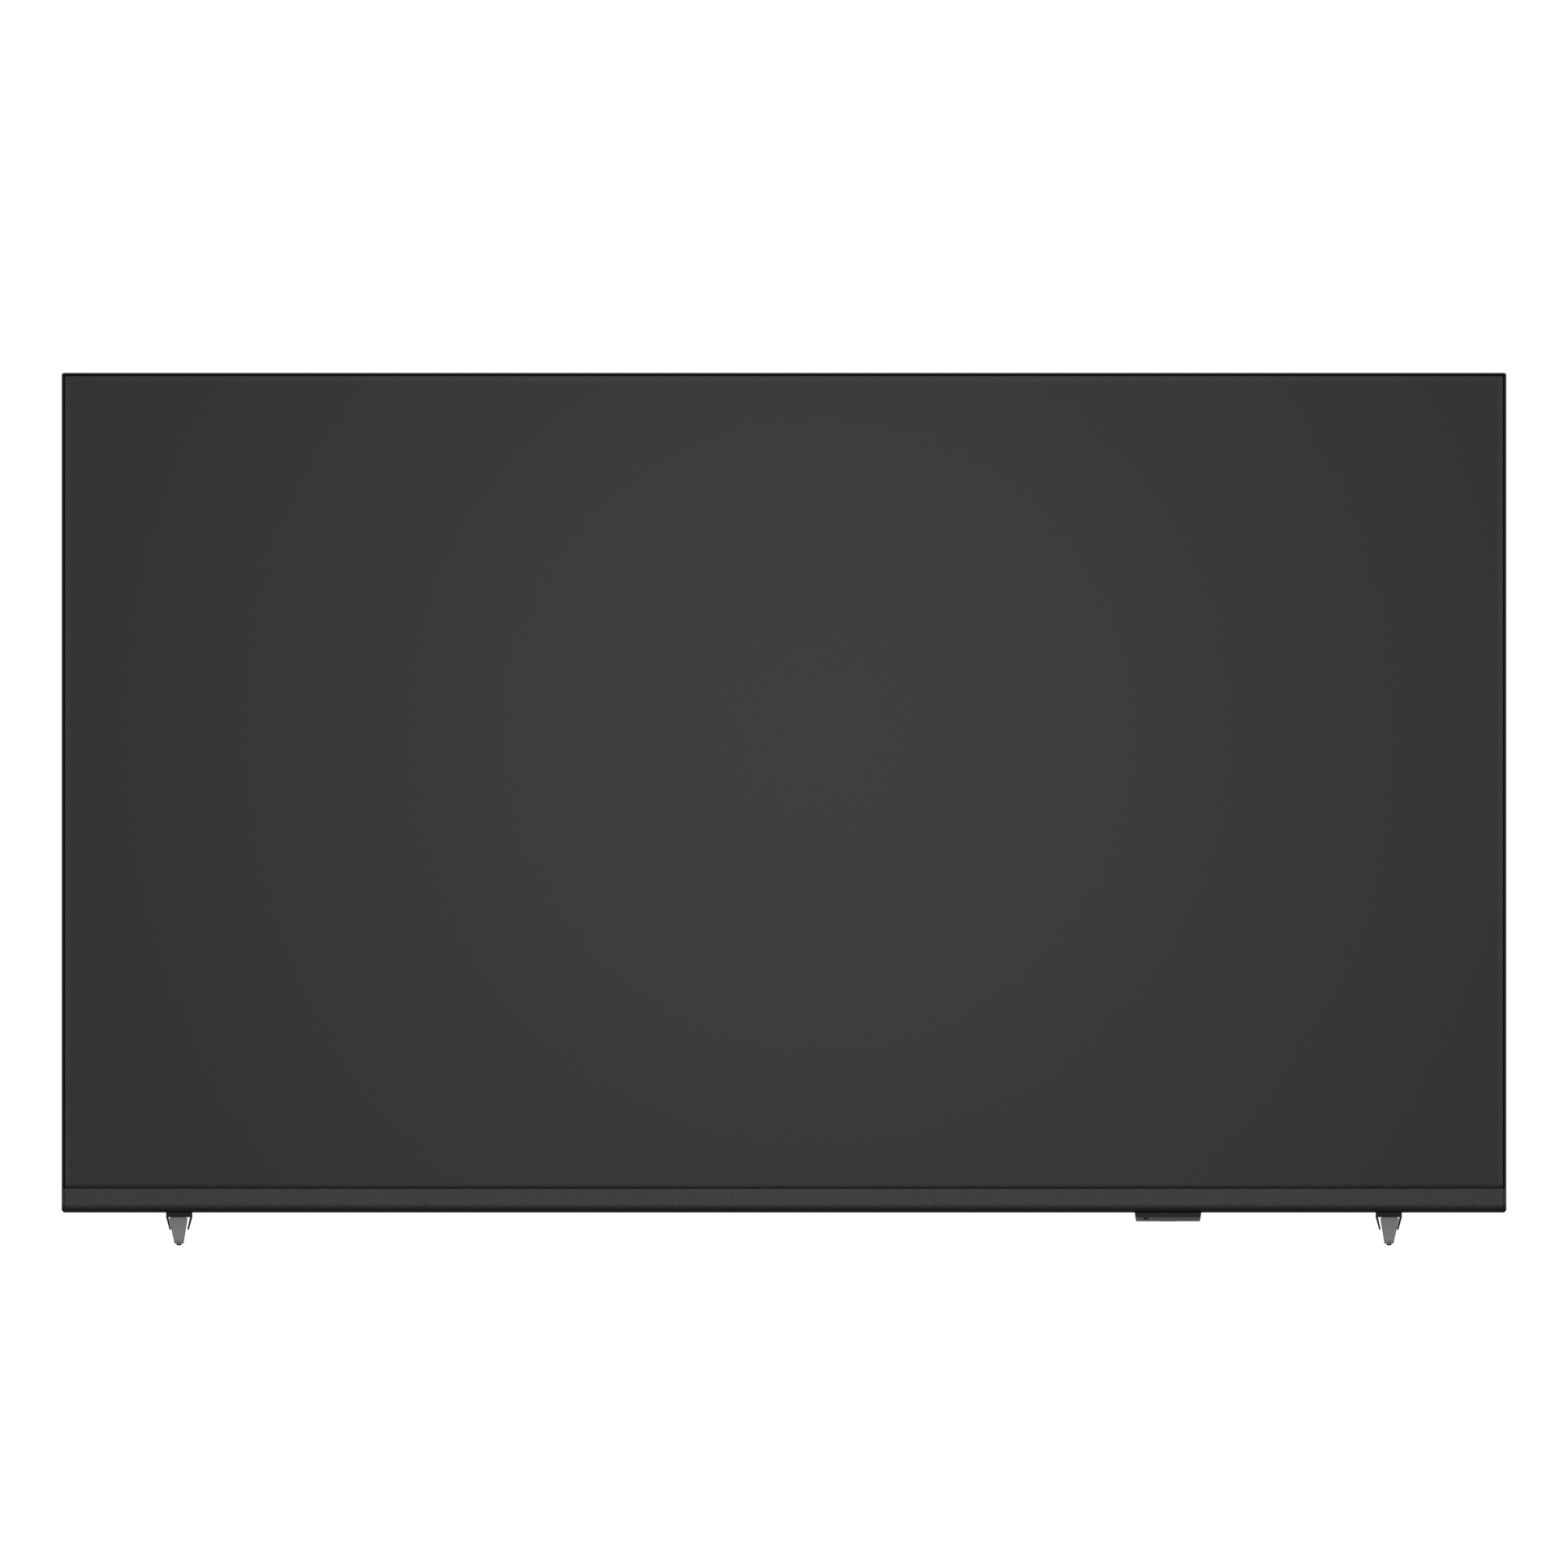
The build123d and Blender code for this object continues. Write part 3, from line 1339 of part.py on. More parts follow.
export_step(speaker_boxes.part, "parts/speaker_boxes.step")

with BuildPart() as speaker_drivers:
    with BuildSketch(Plane.XY.offset(up(frame_low_h))):
        with Locations((-speaker_x, behind(speaker_mid_d)), (speaker_x, behind(speaker_mid_d))):
            Rectangle(basket_w, basket_d)
            SlotOverall(opening_len, opening_w, mode=Mode.SUBTRACT)
    extrude(amount=basket_t)
    with BuildSketch(Plane.XY.offset(up(frame_low_h))):
        with Locations((-speaker_x, behind(speaker_mid_d)), (speaker_x, behind(speaker_mid_d))):
            with GridLocations(basket_w - 4.0, 0, 2, 1):
                Rectangle(4.0, basket_d)
    extrude(amount=magnet_plate_h - frame_low_h)
    with BuildSketch(Plane.XY.offset(up(magnet_plate_h))):
        with Locations((-speaker_x, behind(speaker_mid_d)), (speaker_x, behind(speaker_mid_d))):
            Rectangle(basket_w, basket_d)
            Circle(coil_r + coil_t + coil_gap, mode=Mode.SUBTRACT)
    extrude(amount=basket_t)
    with BuildSketch(Plane.XY.offset(up(magnet_plate_h + basket_t))):
        with Locations((-speaker_x, behind(speaker_mid_d)), (speaker_x, behind(speaker_mid_d))):
            Circle(basket_d / 2 - 0.5)
            Circle(coil_r + coil_t + coil_gap, mode=Mode.SUBTRACT)
            Circle(coil_r - coil_gap)
    extrude(amount=6.0)
    with BuildSketch(Plane.XY.offset(up(magnet_plate_h + basket_t + 6.0))):
        with Locations((-speaker_x, behind(speaker_mid_d)), (speaker_x, behind(speaker_mid_d))):
            Circle(basket_d / 2 - 0.5)
    extrude(amount=2.5)
speaker_drivers.part.label = "speaker_drivers"
export_step(speaker_drivers.part, "parts/speaker_drivers.step")

cone_low = frame_low_h + 0.4
cone_t = 0.6


def speaker_cone(side):
    """The cone with its rolled edge, and the coil that stands on it."""
    with BuildPart() as cone:
        with BuildSketch(Plane.XY.offset(up(cone_low))):
            with Locations((side * speaker_x, behind(speaker_mid_d))):
                SlotOverall(cone_len, cone_w)
        extrude(amount=cone_t)
        with BuildSketch(Plane.XY.offset(up(cone_low))):
            with Locations((side * speaker_x, behind(speaker_mid_d))):
                SlotOverall(cone_len + 2 * roll_w, cone_w + 2 * roll_w)
                SlotOverall(cone_len - 2.0, cone_w - 2.0, mode=Mode.SUBTRACT)
        extrude(amount=2 * cone_t)
        with BuildSketch(Plane.XY.offset(up(cone_low))):
            with Locations((side * speaker_x, behind(speaker_mid_d))):
                Circle(coil_r + coil_t)
                Circle(coil_r, mode=Mode.SUBTRACT)
        extrude(amount=magnet_plate_h + basket_t + 3.0 - cone_low)
    return cone.part


speaker_cone_left = speaker_cone(-1)
speaker_cone_left.label = "speaker_cone_left"
export_step(speaker_cone_left, "parts/speaker_cone_left.step")

speaker_cone_right = speaker_cone(1)
speaker_cone_right.label = "speaker_cone_right"
export_step(speaker_cone_right, "parts/speaker_cone_right.step")

# Sensor module: a small moulded housing under the bezel, with a smoked window across its front's lower half.
# A light pipe stands in the window's slot, and the power button in the housing's floor.
window_d = sensor_set_back - 0.6
window_t = 1.5
housing_d = window_d + window_t
sensor_back_d = sensor_set_back + sensor_depth
button_mid = (sensor_x, behind(sensor_lead_d))
flange_over = 1.0
flange_t = 0.8
module_corner = 0.8
window_edge_r = 0.5


def module_half_w(height):
    """Half the width of the module at a height under the bezel: its ends lean in."""
    return (sensor_top_w + (sensor_top_w - sensor_low_w) * height / sensor_h) / 2


def module_outline(top, low, inset=0.0, mode=Mode.ADD):
    Polygon(
        (sensor_x - module_half_w(top) + inset, up(top)),
        (sensor_x + module_half_w(top) - inset, up(top)),
        (sensor_x + module_half_w(low) - inset, up(low)),
        (sensor_x - module_half_w(low) + inset, up(low)),
        align=None,
        mode=mode,
    )


slot_x, slot_h, slot_w, slot_t = light_slot

with BuildPart() as sensor_housing:
    with BuildSketch(facing(housing_d)) as housing_front:
        module_outline(0, -sensor_h)
        fillet(housing_front.vertices().group_by(Axis.Y)[0], module_corner)
    extrude(amount=housing_d - sensor_back_d)
    with BuildSketch(facing(housing_d + sensor_wall)):
        module_outline(0, -sensor_h + sensor_wall, inset=sensor_wall)
    extrude(amount=housing_d - sensor_back_d + 2 * sensor_wall, mode=Mode.SUBTRACT)
    with BuildSketch(Plane.XY.offset(up(-sensor_h))):
        with Locations(button_mid):
            SlotOverall(button_w + 2 * button_gap, button_d + 2 * button_gap)
    extrude(amount=sensor_wall, mode=Mode.SUBTRACT)
    with BuildSketch(facing(housing_d)):
        with Locations((slot_x, up(slot_h))):
            Rectangle(slot_w + 0.2, slot_t + 0.2)
        with Locations((sensor_x, up(slot_h))):
            Rectangle(10.0, 2.0)
    extrude(amount=-sensor_wall, mode=Mode.SUBTRACT)
sensor_housing.part.label = "sensor_housing"
export_step(sensor_housing.part, "parts/sensor_housing.step")

with BuildPart() as sensor_window:
    with BuildSketch(facing(window_d)) as window_front:
        module_outline(-sensor_neck, -sensor_h)
        fillet(window_front.vertices().group_by(Axis.Y)[0], module_corner)
        with Locations((slot_x, up(slot_h))):
            Rectangle(slot_w + 0.2, slot_t + 0.2, mode=Mode.SUBTRACT)
    extrude(amount=-window_t)
    fillet(sensor_window.edges().filter_by(Axis.X).group_by(Axis.Y)[0].group_by(Axis.Z)[0], window_edge_r)
sensor_window.part.label = "sensor_window"
export_step(sensor_window.part, "parts/sensor_window.step")

with BuildPart() as status_light:
    with BuildSketch(facing(window_d + 0.3)):
        with Locations((slot_x, up(slot_h))):
            Rectangle(slot_w, slot_t)
    extrude(amount=-window_t - sensor_wall - 1.0)
status_light.part.label = "status_light"
export_step(status_light.part, "parts/status_light.step")

sensor_board_top = -0.6
sensor_board_t = 0.8
sensor_board_w, sensor_board_depth = 48.0, 15.0
sensor_board_low = sensor_board_top - sensor_board_t
button_floor = -sensor_h + sensor_wall
button_top = button_floor + flange_t
plunger_low = button_top + button_travel + 0.1
plug_w, plug_d, plug_top = 7.0, 4.6, 7.0

with BuildPart() as sensor_board:
    board_mid_d = housing_d + sensor_wall + 0.3 + sensor_board_depth / 2
    with BuildSketch(Plane.XY.offset(up(sensor_board_low))):
        with Locations((sensor_x, behind(board_mid_d))):
            Rectangle(sensor_board_w, sensor_board_depth)
    extrude(amount=sensor_board_t)
    with BuildSketch(Plane.XY.offset(up(sensor_board_low))):
        with Locations(button_mid):
            Rectangle(6.0, 6.0)
    extrude(amount=-1.6)
    with BuildSketch(Plane.XY.offset(up(sensor_board_low))):
        with Locations(button_mid):
            Circle(1.6)
    extrude(amount=plunger_low - sensor_board_low)
    with BuildSketch(Plane.XY.offset(up(sensor_board_low))):
        with Locations((sensor_x, behind(housing_d + sensor_wall + 1.8))):
            Rectangle(7.0, 2.6)
        with Locations((slot_x, behind(housing_d + sensor_wall + 2.4))):
            Rectangle(3.0, 2.0)
    extrude(amount=slot_h - 1.0 - sensor_board_low)
    with BuildSketch(Plane.XY.offset(up(sensor_board_top))):
        with Locations(button_mid):
            Rectangle(plug_w, plug_d)
    extrude(amount=plug_top - sensor_board_top)
sensor_board.part.label = "sensor_board"
export_step(sensor_board.part, "parts/sensor_board.step")

with BuildPart() as power_button:
    with BuildSketch(Plane.XY.offset(up(-sensor_h - button_proud))):
        with Locations(button_mid):
            SlotOverall(button_w, button_d)
    extrude(amount=button_proud + sensor_wall + flange_t)
    fillet(power_button.faces().sort_by(Axis.Z)[0].edges(), button_edge_r)
    with BuildSketch(Plane.XY.offset(up(button_floor + 0.05))):
        with Locations(button_mid):
            SlotOverall(button_w + 2 * flange_over, button_d + 2 * flange_over)
    extrude(amount=flange_t - 0.05)
power_button.part.label = "power_button"
export_step(power_button.part, "parts/power_button.step")

# Foot brackets: black moulded channels, open downwards, whose skirts lean in.
bracket_half = bracket_w / 2
skirt_low = -bracket_top - bracket_skirt

with BuildPart() as foot_brackets:
    with BuildSketch(Plane.XZ.offset(bracket_len / 2)):
        with Locations((-foot_x, up(0)), (foot_x, up(0))):
            Polygon(
                (-bracket_half, 0),
                (-bracket_half, -bracket_top),
                (bracket_taper - bracket_half, skirt_low),
                (bracket_taper - bracket_half + bracket_edge, skirt_low),
                (bracket_wall - bracket_half, -bracket_top),
                (bracket_half - bracket_wall, -bracket_top),
                (bracket_half - bracket_taper - bracket_edge, skirt_low),
                (bracket_half - bracket_taper, skirt_low),
                (bracket_half, -bracket_top),
                (bracket_half, 0),
                align=None,
            )
    extrude(amount=-bracket_len)
    with BuildSketch(Plane.XY.offset(up(0))):
        with Locations(*foot_spots):
            Circle(foot_screw_r + 0.2)
    extrude(amount=-bracket_top, mode=Mode.SUBTRACT)
foot_brackets.part.label = "foot_brackets"
export_step(foot_brackets.part, "parts/foot_brackets.step")

# Legs: cast aluminium, one piece each. Seen from the side a low arch that falls from its seat in the bracket
# to a tip at the front and at the back; seen from the front it narrows downwards, more on the outer side.
# Its long upper edges are rounded. The right leg is the mirror image of the left one.
leg_top = ground_clearance - bracket_top
leg_flat_half = bracket_len / 2 + 4.0
tip_flat = pad_len + 2 * pad_inset
leg_under = leg_top - leg_bar_h
screw_seat_z = leg_under + 4.0
foot_head_r, foot_head_h = 3.6, 2.6
left_foot_spots = [(x, y) for x, y in foot_spots if x < 0]

with BuildPart() as left_leg:
    with BuildSketch(Plane.YZ.offset(-foot_x - bracket_half)):
        Polygon(
            (-leg_reach, pad_t),
            (-leg_reach, pad_t + leg_tip_h - leg_nose),
            (-leg_reach + leg_nose, pad_t + leg_tip_h),
            (-leg_flat_half, leg_top),
            (leg_flat_half, leg_top),
            (leg_reach - leg_nose, pad_t + leg_tip_h),
            (leg_reach, pad_t + leg_tip_h - leg_nose),
            (leg_reach, pad_t),
            (leg_reach - tip_flat, pad_t),
            (leg_flat_half, leg_under),
            (-leg_flat_half, leg_under),
            (-leg_reach + tip_flat, pad_t),
            align=None,
        )
    extrude(amount=bracket_w)
    with BuildSketch(Plane.XZ.offset(-leg_reach)):
        Polygon(
            (-foot_x - leg_outer_top, leg_top),
            (-foot_x + leg_inner_top, leg_top),
            (-foot_x + leg_inner_tip, pad_t),
            (-foot_x - leg_outer_tip, pad_t),
            align=None,
        )
    extrude(amount=2 * leg_reach, mode=Mode.INTERSECT)
    upper_faces = left_leg.faces().filter_by(lambda face: face.normal_at().Z > 0.5)
    long_edges = upper_faces.edges().filter_by(lambda edge: abs((edge @ 1 - edge @ 0).Y) > tip_flat)
    fillet(long_edges, leg_edge_r)
    with BuildSketch(Plane.XY.offset(leg_under)):
        with Locations(*left_foot_spots):
            Circle(foot_screw_r + 0.2)
    extrude(amount=leg_bar_h, mode=Mode.SUBTRACT)
    with BuildSketch(Plane.XY.offset(leg_under)):
        with Locations(*left_foot_spots):
            Circle(foot_head_r + 0.3)
    extrude(amount=screw_seat_z - leg_under, mode=Mode.SUBTRACT)
left_leg.part.label = "left_leg"
export_step(left_leg.part, "parts/left_leg.step")

with BuildPart() as right_leg:
    mirror(left_leg.part, about=Plane.YZ)
right_leg.part.label = "right_leg"
export_step(right_leg.part, "parts/right_leg.step")

# Foot pads: rubber strips under the four tips.
pad_shift = (leg_outer_tip - leg_inner_tip) / 2

with BuildPart() as foot_pads:
    with BuildSketch(Plane.XY):
        for side in (-1, 1):
            with Locations((side * (foot_x + pad_shift), 0)):
                with GridLocations(0, 2 * (leg_reach - pad_inset) - pad_len, 1, 2):
                    RectangleRounded(pad_w, pad_len, 1.5)
    extrude(amount=pad_t)
foot_pads.part.label = "foot_pads"
export_step(foot_pads.part, "parts/foot_pads.step")

# Foot screws: two M4 pan heads a foot, up through leg and bracket into the foot plate.
foot_screw_top = up(cover_t + foot_plate_t)

with BuildPart() as foot_screws:
    with BuildSketch(Plane.XY.offset(screw_seat_z)):
        with Locations(*foot_spots):
            Circle(foot_head_r)
    extrude(amount=-foot_head_h)
    with BuildSketch(Plane.XY.offset(screw_seat_z)):
        with Locations(*foot_spots):
            Circle(foot_screw_r - 0.1)
    extrude(amount=foot_screw_top - screw_seat_z)
    with BuildSketch(Plane.XY.offset(screw_seat_z - foot_head_h)):
        with Locations(*foot_spots):
            Rectangle(4.4, 1.0)
            Rectangle(1.0, 4.4)
    extrude(amount=1.2, mode=Mode.SUBTRACT)
foot_screws.part.label = "foot_screws"
export_step(foot_screws.part, "parts/foot_screws.step")


# Leads inside the set, along their real routes, as points of width, depth and height.
def at(x, distance, height):
    return (x, behind(distance), up(height))


contact_top = recess_roof + switch_body_h + contact_h
plug_low_h = connector_low
live_x = inlet_x + pin_pitch
pin_d = power_row_d - 1.5
mains_routes = [
    [at(inlet_x - pin_pitch, pin_d, pin_high), at(inlet_x - pin_pitch, pin_d, plug_low_h)],
    [
        at(live_x, pin_d, pin_high),
        at(live_x, pin_d, pin_high + 9.0),
        at(live_x + 8.0, power_row_d, pin_high + 12.5),
        at(switch_x - 11.0, power_row_d, pin_high + 11.0),
        at(switch_x - 5.0, power_row_d, pin_high + 7.0),
        at(switch_x - 5.0, power_row_d, contact_top),
    ],
    [
        at(switch_x + 5.0, power_row_d, contact_top),
        at(switch_x + 5.0, power_row_d, contact_top + 9.0),
        at(switch_x + 1.0, power_row_d, contact_top + 16.0),
        at(switch_x - 10.0, power_row_d, contact_top + 20.0),
        at(inlet_x + 27.0, power_row_d, contact_top + 20.0),
    ],
]

with BuildPart() as mains_leads:
    add([lead(route, mains_lead_d) for route in mains_routes])
mains_leads.part.label = "mains_leads"
export_step(mains_leads.part, "parts/mains_leads.step")

speaker_top = speaker_low + speaker_h
lead_drop_x = 132.8
plug_mid_d = board_d + board_t + plug_t / 2
sensor_plug_h = main_edges[3]
sensor_plug_d = board_d + board_t + 2.5
signal_routes = [
    [
        at(power_edges[0], plug_mid_d, pan_mid_h),
        at(power_edges[0] - 13.0, plug_mid_d, pan_mid_h),
        at(led_lead_spot[0], pan_back_d + 8.0, pan_mid_h),
        at(led_lead_spot[0], pan_floor_d + 0.05, pan_mid_h),
    ],
    [
        at(main_edges[0], plug_mid_d, 214.0),
        at(141.0, plug_mid_d, 214.0),
        at(134.0, 34.5, 206.0),
        at(lead_drop_x, 33.0, 194.0),
        at(lead_drop_x, 33.0, 100.0),
        at(138.0, 34.0, 84.0),
        at(160.0, 38.0, 78.0),
        at(214.0, speaker_mid_d, 76.0),
        at(232.0, speaker_mid_d, 72.0),
        at(232.0, speaker_mid_d, speaker_top),
    ],
    [
        at(main_edges[0], plug_mid_d, 221.0),
        at(140.0, plug_mid_d, 221.0),
        at(lead_drop_x, 41.5, 208.0),
        at(lead_drop_x, 39.0, 170.0),
        at(lead_drop_x, 37.0, 108.0),
        at(124.0, 34.0, 88.0),
        at(100.0, 31.5, 80.0),
        at(-190.0, 31.5, 78.0),
        at(-220.0, 36.0, 77.0),
        at(-232.0, speaker_mid_d, 72.0),
        at(-232.0, speaker_mid_d, speaker_top),
    ],
    [
        at(sensor_plug_x, sensor_plug_d, sensor_plug_h),
        at(sensor_plug_x, sensor_plug_d, sensor_plug_h + 7.0),
        at(312.0, 38.0, sensor_plug_h + 13.0),
        at(404.0, 35.0, sensor_plug_h + 12.0),
        at(424.0, 34.0, sensor_plug_h - 6.0),
        at(425.0, 31.0, 340.0),
        at(425.0, 30.0, 60.0),
        at(425.0, 29.5, 22.0),
        at(420.0, 29.0, 8.0),
        at(406.0, 25.0, 5.2),
        at(350.0, sensor_lead_d, 5.2),
        at(sensor_x + plug_w / 2, sensor_lead_d, 5.2),
    ],
]

with BuildPart() as signal_leads:
    add([lead(route, lead_d) for route in signal_routes])
signal_leads.part.label = "signal_leads"
export_step(signal_leads.part, "parts/signal_leads.step")
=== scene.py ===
import math

import bmesh
import bpy
import numpy as np
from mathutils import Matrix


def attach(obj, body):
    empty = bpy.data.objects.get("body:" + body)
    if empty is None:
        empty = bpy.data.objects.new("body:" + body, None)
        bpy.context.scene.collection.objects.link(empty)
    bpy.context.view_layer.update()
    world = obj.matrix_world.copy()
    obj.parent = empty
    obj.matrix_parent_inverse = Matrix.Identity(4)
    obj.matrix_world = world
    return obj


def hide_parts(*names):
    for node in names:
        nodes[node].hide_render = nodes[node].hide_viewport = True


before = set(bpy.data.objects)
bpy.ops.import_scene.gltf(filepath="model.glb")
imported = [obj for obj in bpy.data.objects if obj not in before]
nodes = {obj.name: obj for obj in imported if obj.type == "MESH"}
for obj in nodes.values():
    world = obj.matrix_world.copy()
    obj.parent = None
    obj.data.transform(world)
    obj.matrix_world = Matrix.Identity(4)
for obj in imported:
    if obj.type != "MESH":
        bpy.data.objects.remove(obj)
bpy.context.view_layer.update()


# Rails
# Three thin extruded aluminium rails round the top and both sides, each a wall with a flange at its back, and
# mitred at the top corners. They are powder coated in a dark satin grey.
def corners(name):
    """The lowest and the highest corner of a CAD piece, in mm."""
    mesh = nodes[name].data
    points = np.empty(3 * len(mesh.vertices), np.float32)
    mesh.vertices.foreach_get("co", points)
    points = points.reshape(-1, 3).astype(float) * 1000.0
    return points.min(0), points.max(0)


def linear(code):
    """A colour from its sRGB hex code, as linear light with full cover."""
    parts = [int(code[i : i + 2], 16) / 255 for i in (1, 3, 5)]
    return tuple(c / 12.92 if c <= 0.04045 else ((c + 0.055) / 1.055) ** 2.4 for c in parts) + (1.0,)


def add_node(tree, kind, props={}, values={}, links={}):
    """One shader node: its own settings, the values of its sockets, and what feeds them."""
    made = tree.nodes.new("ShaderNode" + kind)
    for name, value in props.items():
        setattr(made, name, value)
    for name, value in values.items():
        made.inputs[name].default_value = value
    for name, source in links.items():
        tree.links.new(source, made.inputs[name])
    return made


def new_finish(name, colour, **sockets):
    """A material with one shader of that sRGB colour and those constants. Returns it, its tree and shader."""
    material = bpy.data.materials.new(name)
    material.use_nodes = True
    tree = material.node_tree
    shader = tree.nodes["Principled BSDF"]
    shader.inputs["Base Color"].default_value = linear(colour)
    for socket, value in sockets.items():
        shader.inputs[socket.replace("_", " ")].default_value = value
    return material, tree, shader


def roughened(tree, shader, size_mm, depth_mm, detail=2.0):
    """Small random bumps of that size and depth, from noise on the piece's own coordinates, which it
    returns."""
    place = add_node(tree, "TexCoord")
    noise = add_node(
        tree,
        "TexNoise",
        values={"Scale": 1000.0 / size_mm, "Detail": detail, "Roughness": 0.6},
        links={"Vector": place.outputs["Object"]},
    )
    bump = add_node(
        tree,
        "Bump",
        values={"Strength": 1.0, "Distance": depth_mm / 1000.0},
        links={"Height": noise.outputs["Fac"]},
    )
    tree.links.new(bump.outputs["Normal"], shader.inputs["Normal"])
    return noise


# Where the rails lie, from the CAD pieces, and their section, in mm.
side_low, side_high = corners("right_rail")
rail_out = side_high[0]
rail_top = corners("top_rail")[1][2]
rail_foot = corners("bottom_bezel")[1][2]
rail_front = side_low[1]
rail_back = side_high[1]
flange_reach = side_high[0] - side_low[0]
wall_t = 1.4
flange_t = 1.2
edge_r = 0.5
corner_r = 2.2
corner_steps = 6


def rail_section():
    """The rail's section, as insets from the outline and depths in mm: an L whose outer front edge is a
    quarter circle of edge_r and whose other edges are broken by 0.1 to 0.3 mm."""
    turn = np.linspace(0.0, math.pi / 2, 5)
    front = np.stack([edge_r - edge_r * np.sin(turn), rail_front + edge_r - edge_r * np.cos(turn)], 1)
    flange = rail_back - flange_t
    rest = [
        (0.0, rail_back - 0.3),
        (0.3, rail_back),
        (flange_reach - 0.1, rail_back),
        (flange_reach, rail_back - 0.1),
        (flange_reach, flange + 0.1),
        (flange_reach - 0.1, flange),
        (wall_t, flange),
        (wall_t, rail_front + 0.2),
        (wall_t - 0.2, rail_front),
    ]
    return np.concatenate([front, rest])


def rail_points(insets, turns, side):
    """Where the outline lies at those insets, at angles round its upper corner: an arc of radius
    corner_r - inset about the corner's centre, and the mitre's point beyond that centre."""
    reach = corner_r - insets[None, :]
    arc_x, arc_z = np.cos(turns)[:, None], np.sin(turns)[:, None]
    x = rail_out - corner_r + np.where(reach > 0, reach * arc_x, reach)
    z = rail_top - corner_r + np.where(reach > 0, reach * arc_z, reach)
    return side * x, z


def swept(name, rings, material):
    """A closed skin through rings of points: an array of rings, each a closed row of x, y and z in mm, with
    the first and the last ring filled. Doubled points are merged and the faces turned outwards."""
    count, around = rings.shape[:2]
    index = np.arange(count * around).reshape(count, around)
    ahead = np.roll(index, -1, axis=1)
    quads = np.stack([index[:-1], ahead[:-1], ahead[1:], index[1:]], -1).reshape(-1, 4)
    faces = quads.tolist() + [index[0][::-1].tolist(), index[-1].tolist()]
    mesh = bpy.data.meshes.new(name)
    mesh.from_pydata((rings.reshape(-1, 3) / 1000.0).tolist(), [], faces)
    clean = bmesh.new()
    clean.from_mesh(mesh)
    merge_within = 1e-6
    bmesh.ops.remove_doubles(clean, verts=clean.verts, dist=merge_within)
    bmesh.ops.dissolve_degenerate(clean, edges=clean.edges, dist=merge_within)
    bmesh.ops.recalc_face_normals(clean, faces=clean.faces)
    clean.to_mesh(mesh)
    clean.free()
    mesh.polygons.foreach_set("use_smooth", np.ones(len(mesh.polygons), bool))
    mesh.set_sharp_from_angle(angle=math.radians(35))
    mesh.materials.append(material)
    piece = bpy.data.objects.new(name, mesh)
    bpy.context.scene.collection.objects.link(piece)
    return piece


# Baked powder on the aluminium: its orange peel, 1.6 mm across, softens the light along the edges.
powder_coat, tree, shader = new_finish("satin grey powder coat", "#18191b", Roughness=0.42, IOR=1.38)
roughened(tree, shader, size_mm=1.6, depth_mm=0.02)

insets, depths = rail_section().T
for side, node in ((-1, "left_rail"), (1, "right_rail")):
    x, z = rail_points(insets, np.linspace(0.0, math.pi / 4, corner_steps), side)
    x = np.vstack([side * (rail_out - insets), x])
    z = np.vstack([np.full_like(insets, rail_foot), z])
    y = np.broadcast_to(depths, x.shape)
    skin = swept("side_rail_skin", np.stack([x, y, z], -1), powder_coat)
    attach(skin, "display")
    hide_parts(node)

left_x, left_z = rail_points(insets, np.linspace(math.pi / 4, math.pi / 2, corner_steps), -1)
right_x, right_z = rail_points(insets, np.linspace(math.pi / 2, math.pi / 4, corner_steps), 1)
x = np.vstack([left_x, right_x])
z = np.vstack([left_z, right_z])
y = np.broadcast_to(depths, x.shape)
skin = swept("top_rail_skin", np.stack([x, y, z], -1), powder_coat)
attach(skin, "display")
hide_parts("top_rail")


# Bottom bezel and end caps
# One moulded ABS strip under the screen, whose lower edge rolls under the set and runs back to its cover. A
# narrow cap of the same plastic closes each end.
def mottled(tree, shader, source, dark, light, start=0.0, end=1.0):
    """The shader's colour runs between two sRGB colours as a pattern goes from start to end."""
    ramp = add_node(tree, "ValToRGB", links={"Fac": source})
    ramp.color_ramp.elements[0].position = start
    ramp.color_ramp.elements[1].position = end
    ramp.color_ramp.elements[0].color = linear(dark)
    ramp.color_ramp.elements[1].color = linear(light)
    tree.links.new(ramp.outputs["Color"], shader.inputs["Base Color"])


def dress(material, *names):
    """Those CAD pieces take that material."""
    for name in names:
        for place in nodes[name].material_slots:
            place.material = material


# The strip's tool was spark eroded: a fine even grain breaks the reflections into a satin. The real grain is
# 0.2 mm; it is drawn at 1.6 mm, the finest that shows.
spark_grain, tree, shader = new_finish("spark grained charcoal ABS", "#1d1d1e", Roughness=0.5, IOR=1.46)
noise = roughened(tree, shader, size_mm=1.6, depth_mm=0.05, detail=3.0)
mottled(tree, shader, noise.outputs["Fac"], "#111112", "#252526", start=0.35, end=0.65)
dress(spark_grain, "bottom_bezel")

# The caps' tool was only blasted, so they are smoother and darker than the strip.
cap_plastic, tree, shader = new_finish("satin charcoal ABS", "#141415", Roughness=0.45, IOR=1.4)
roughened(tree, shader, size_mm=1.2, depth_mm=0.015)
dress(cap_plastic, "bezel_end_caps")


# Screen
# The cell is two sheets of glass with a polariser film on each. The front glass carries a printed black
# border, seen between the rails and the picture. Strips of foam cushion the cell all round.

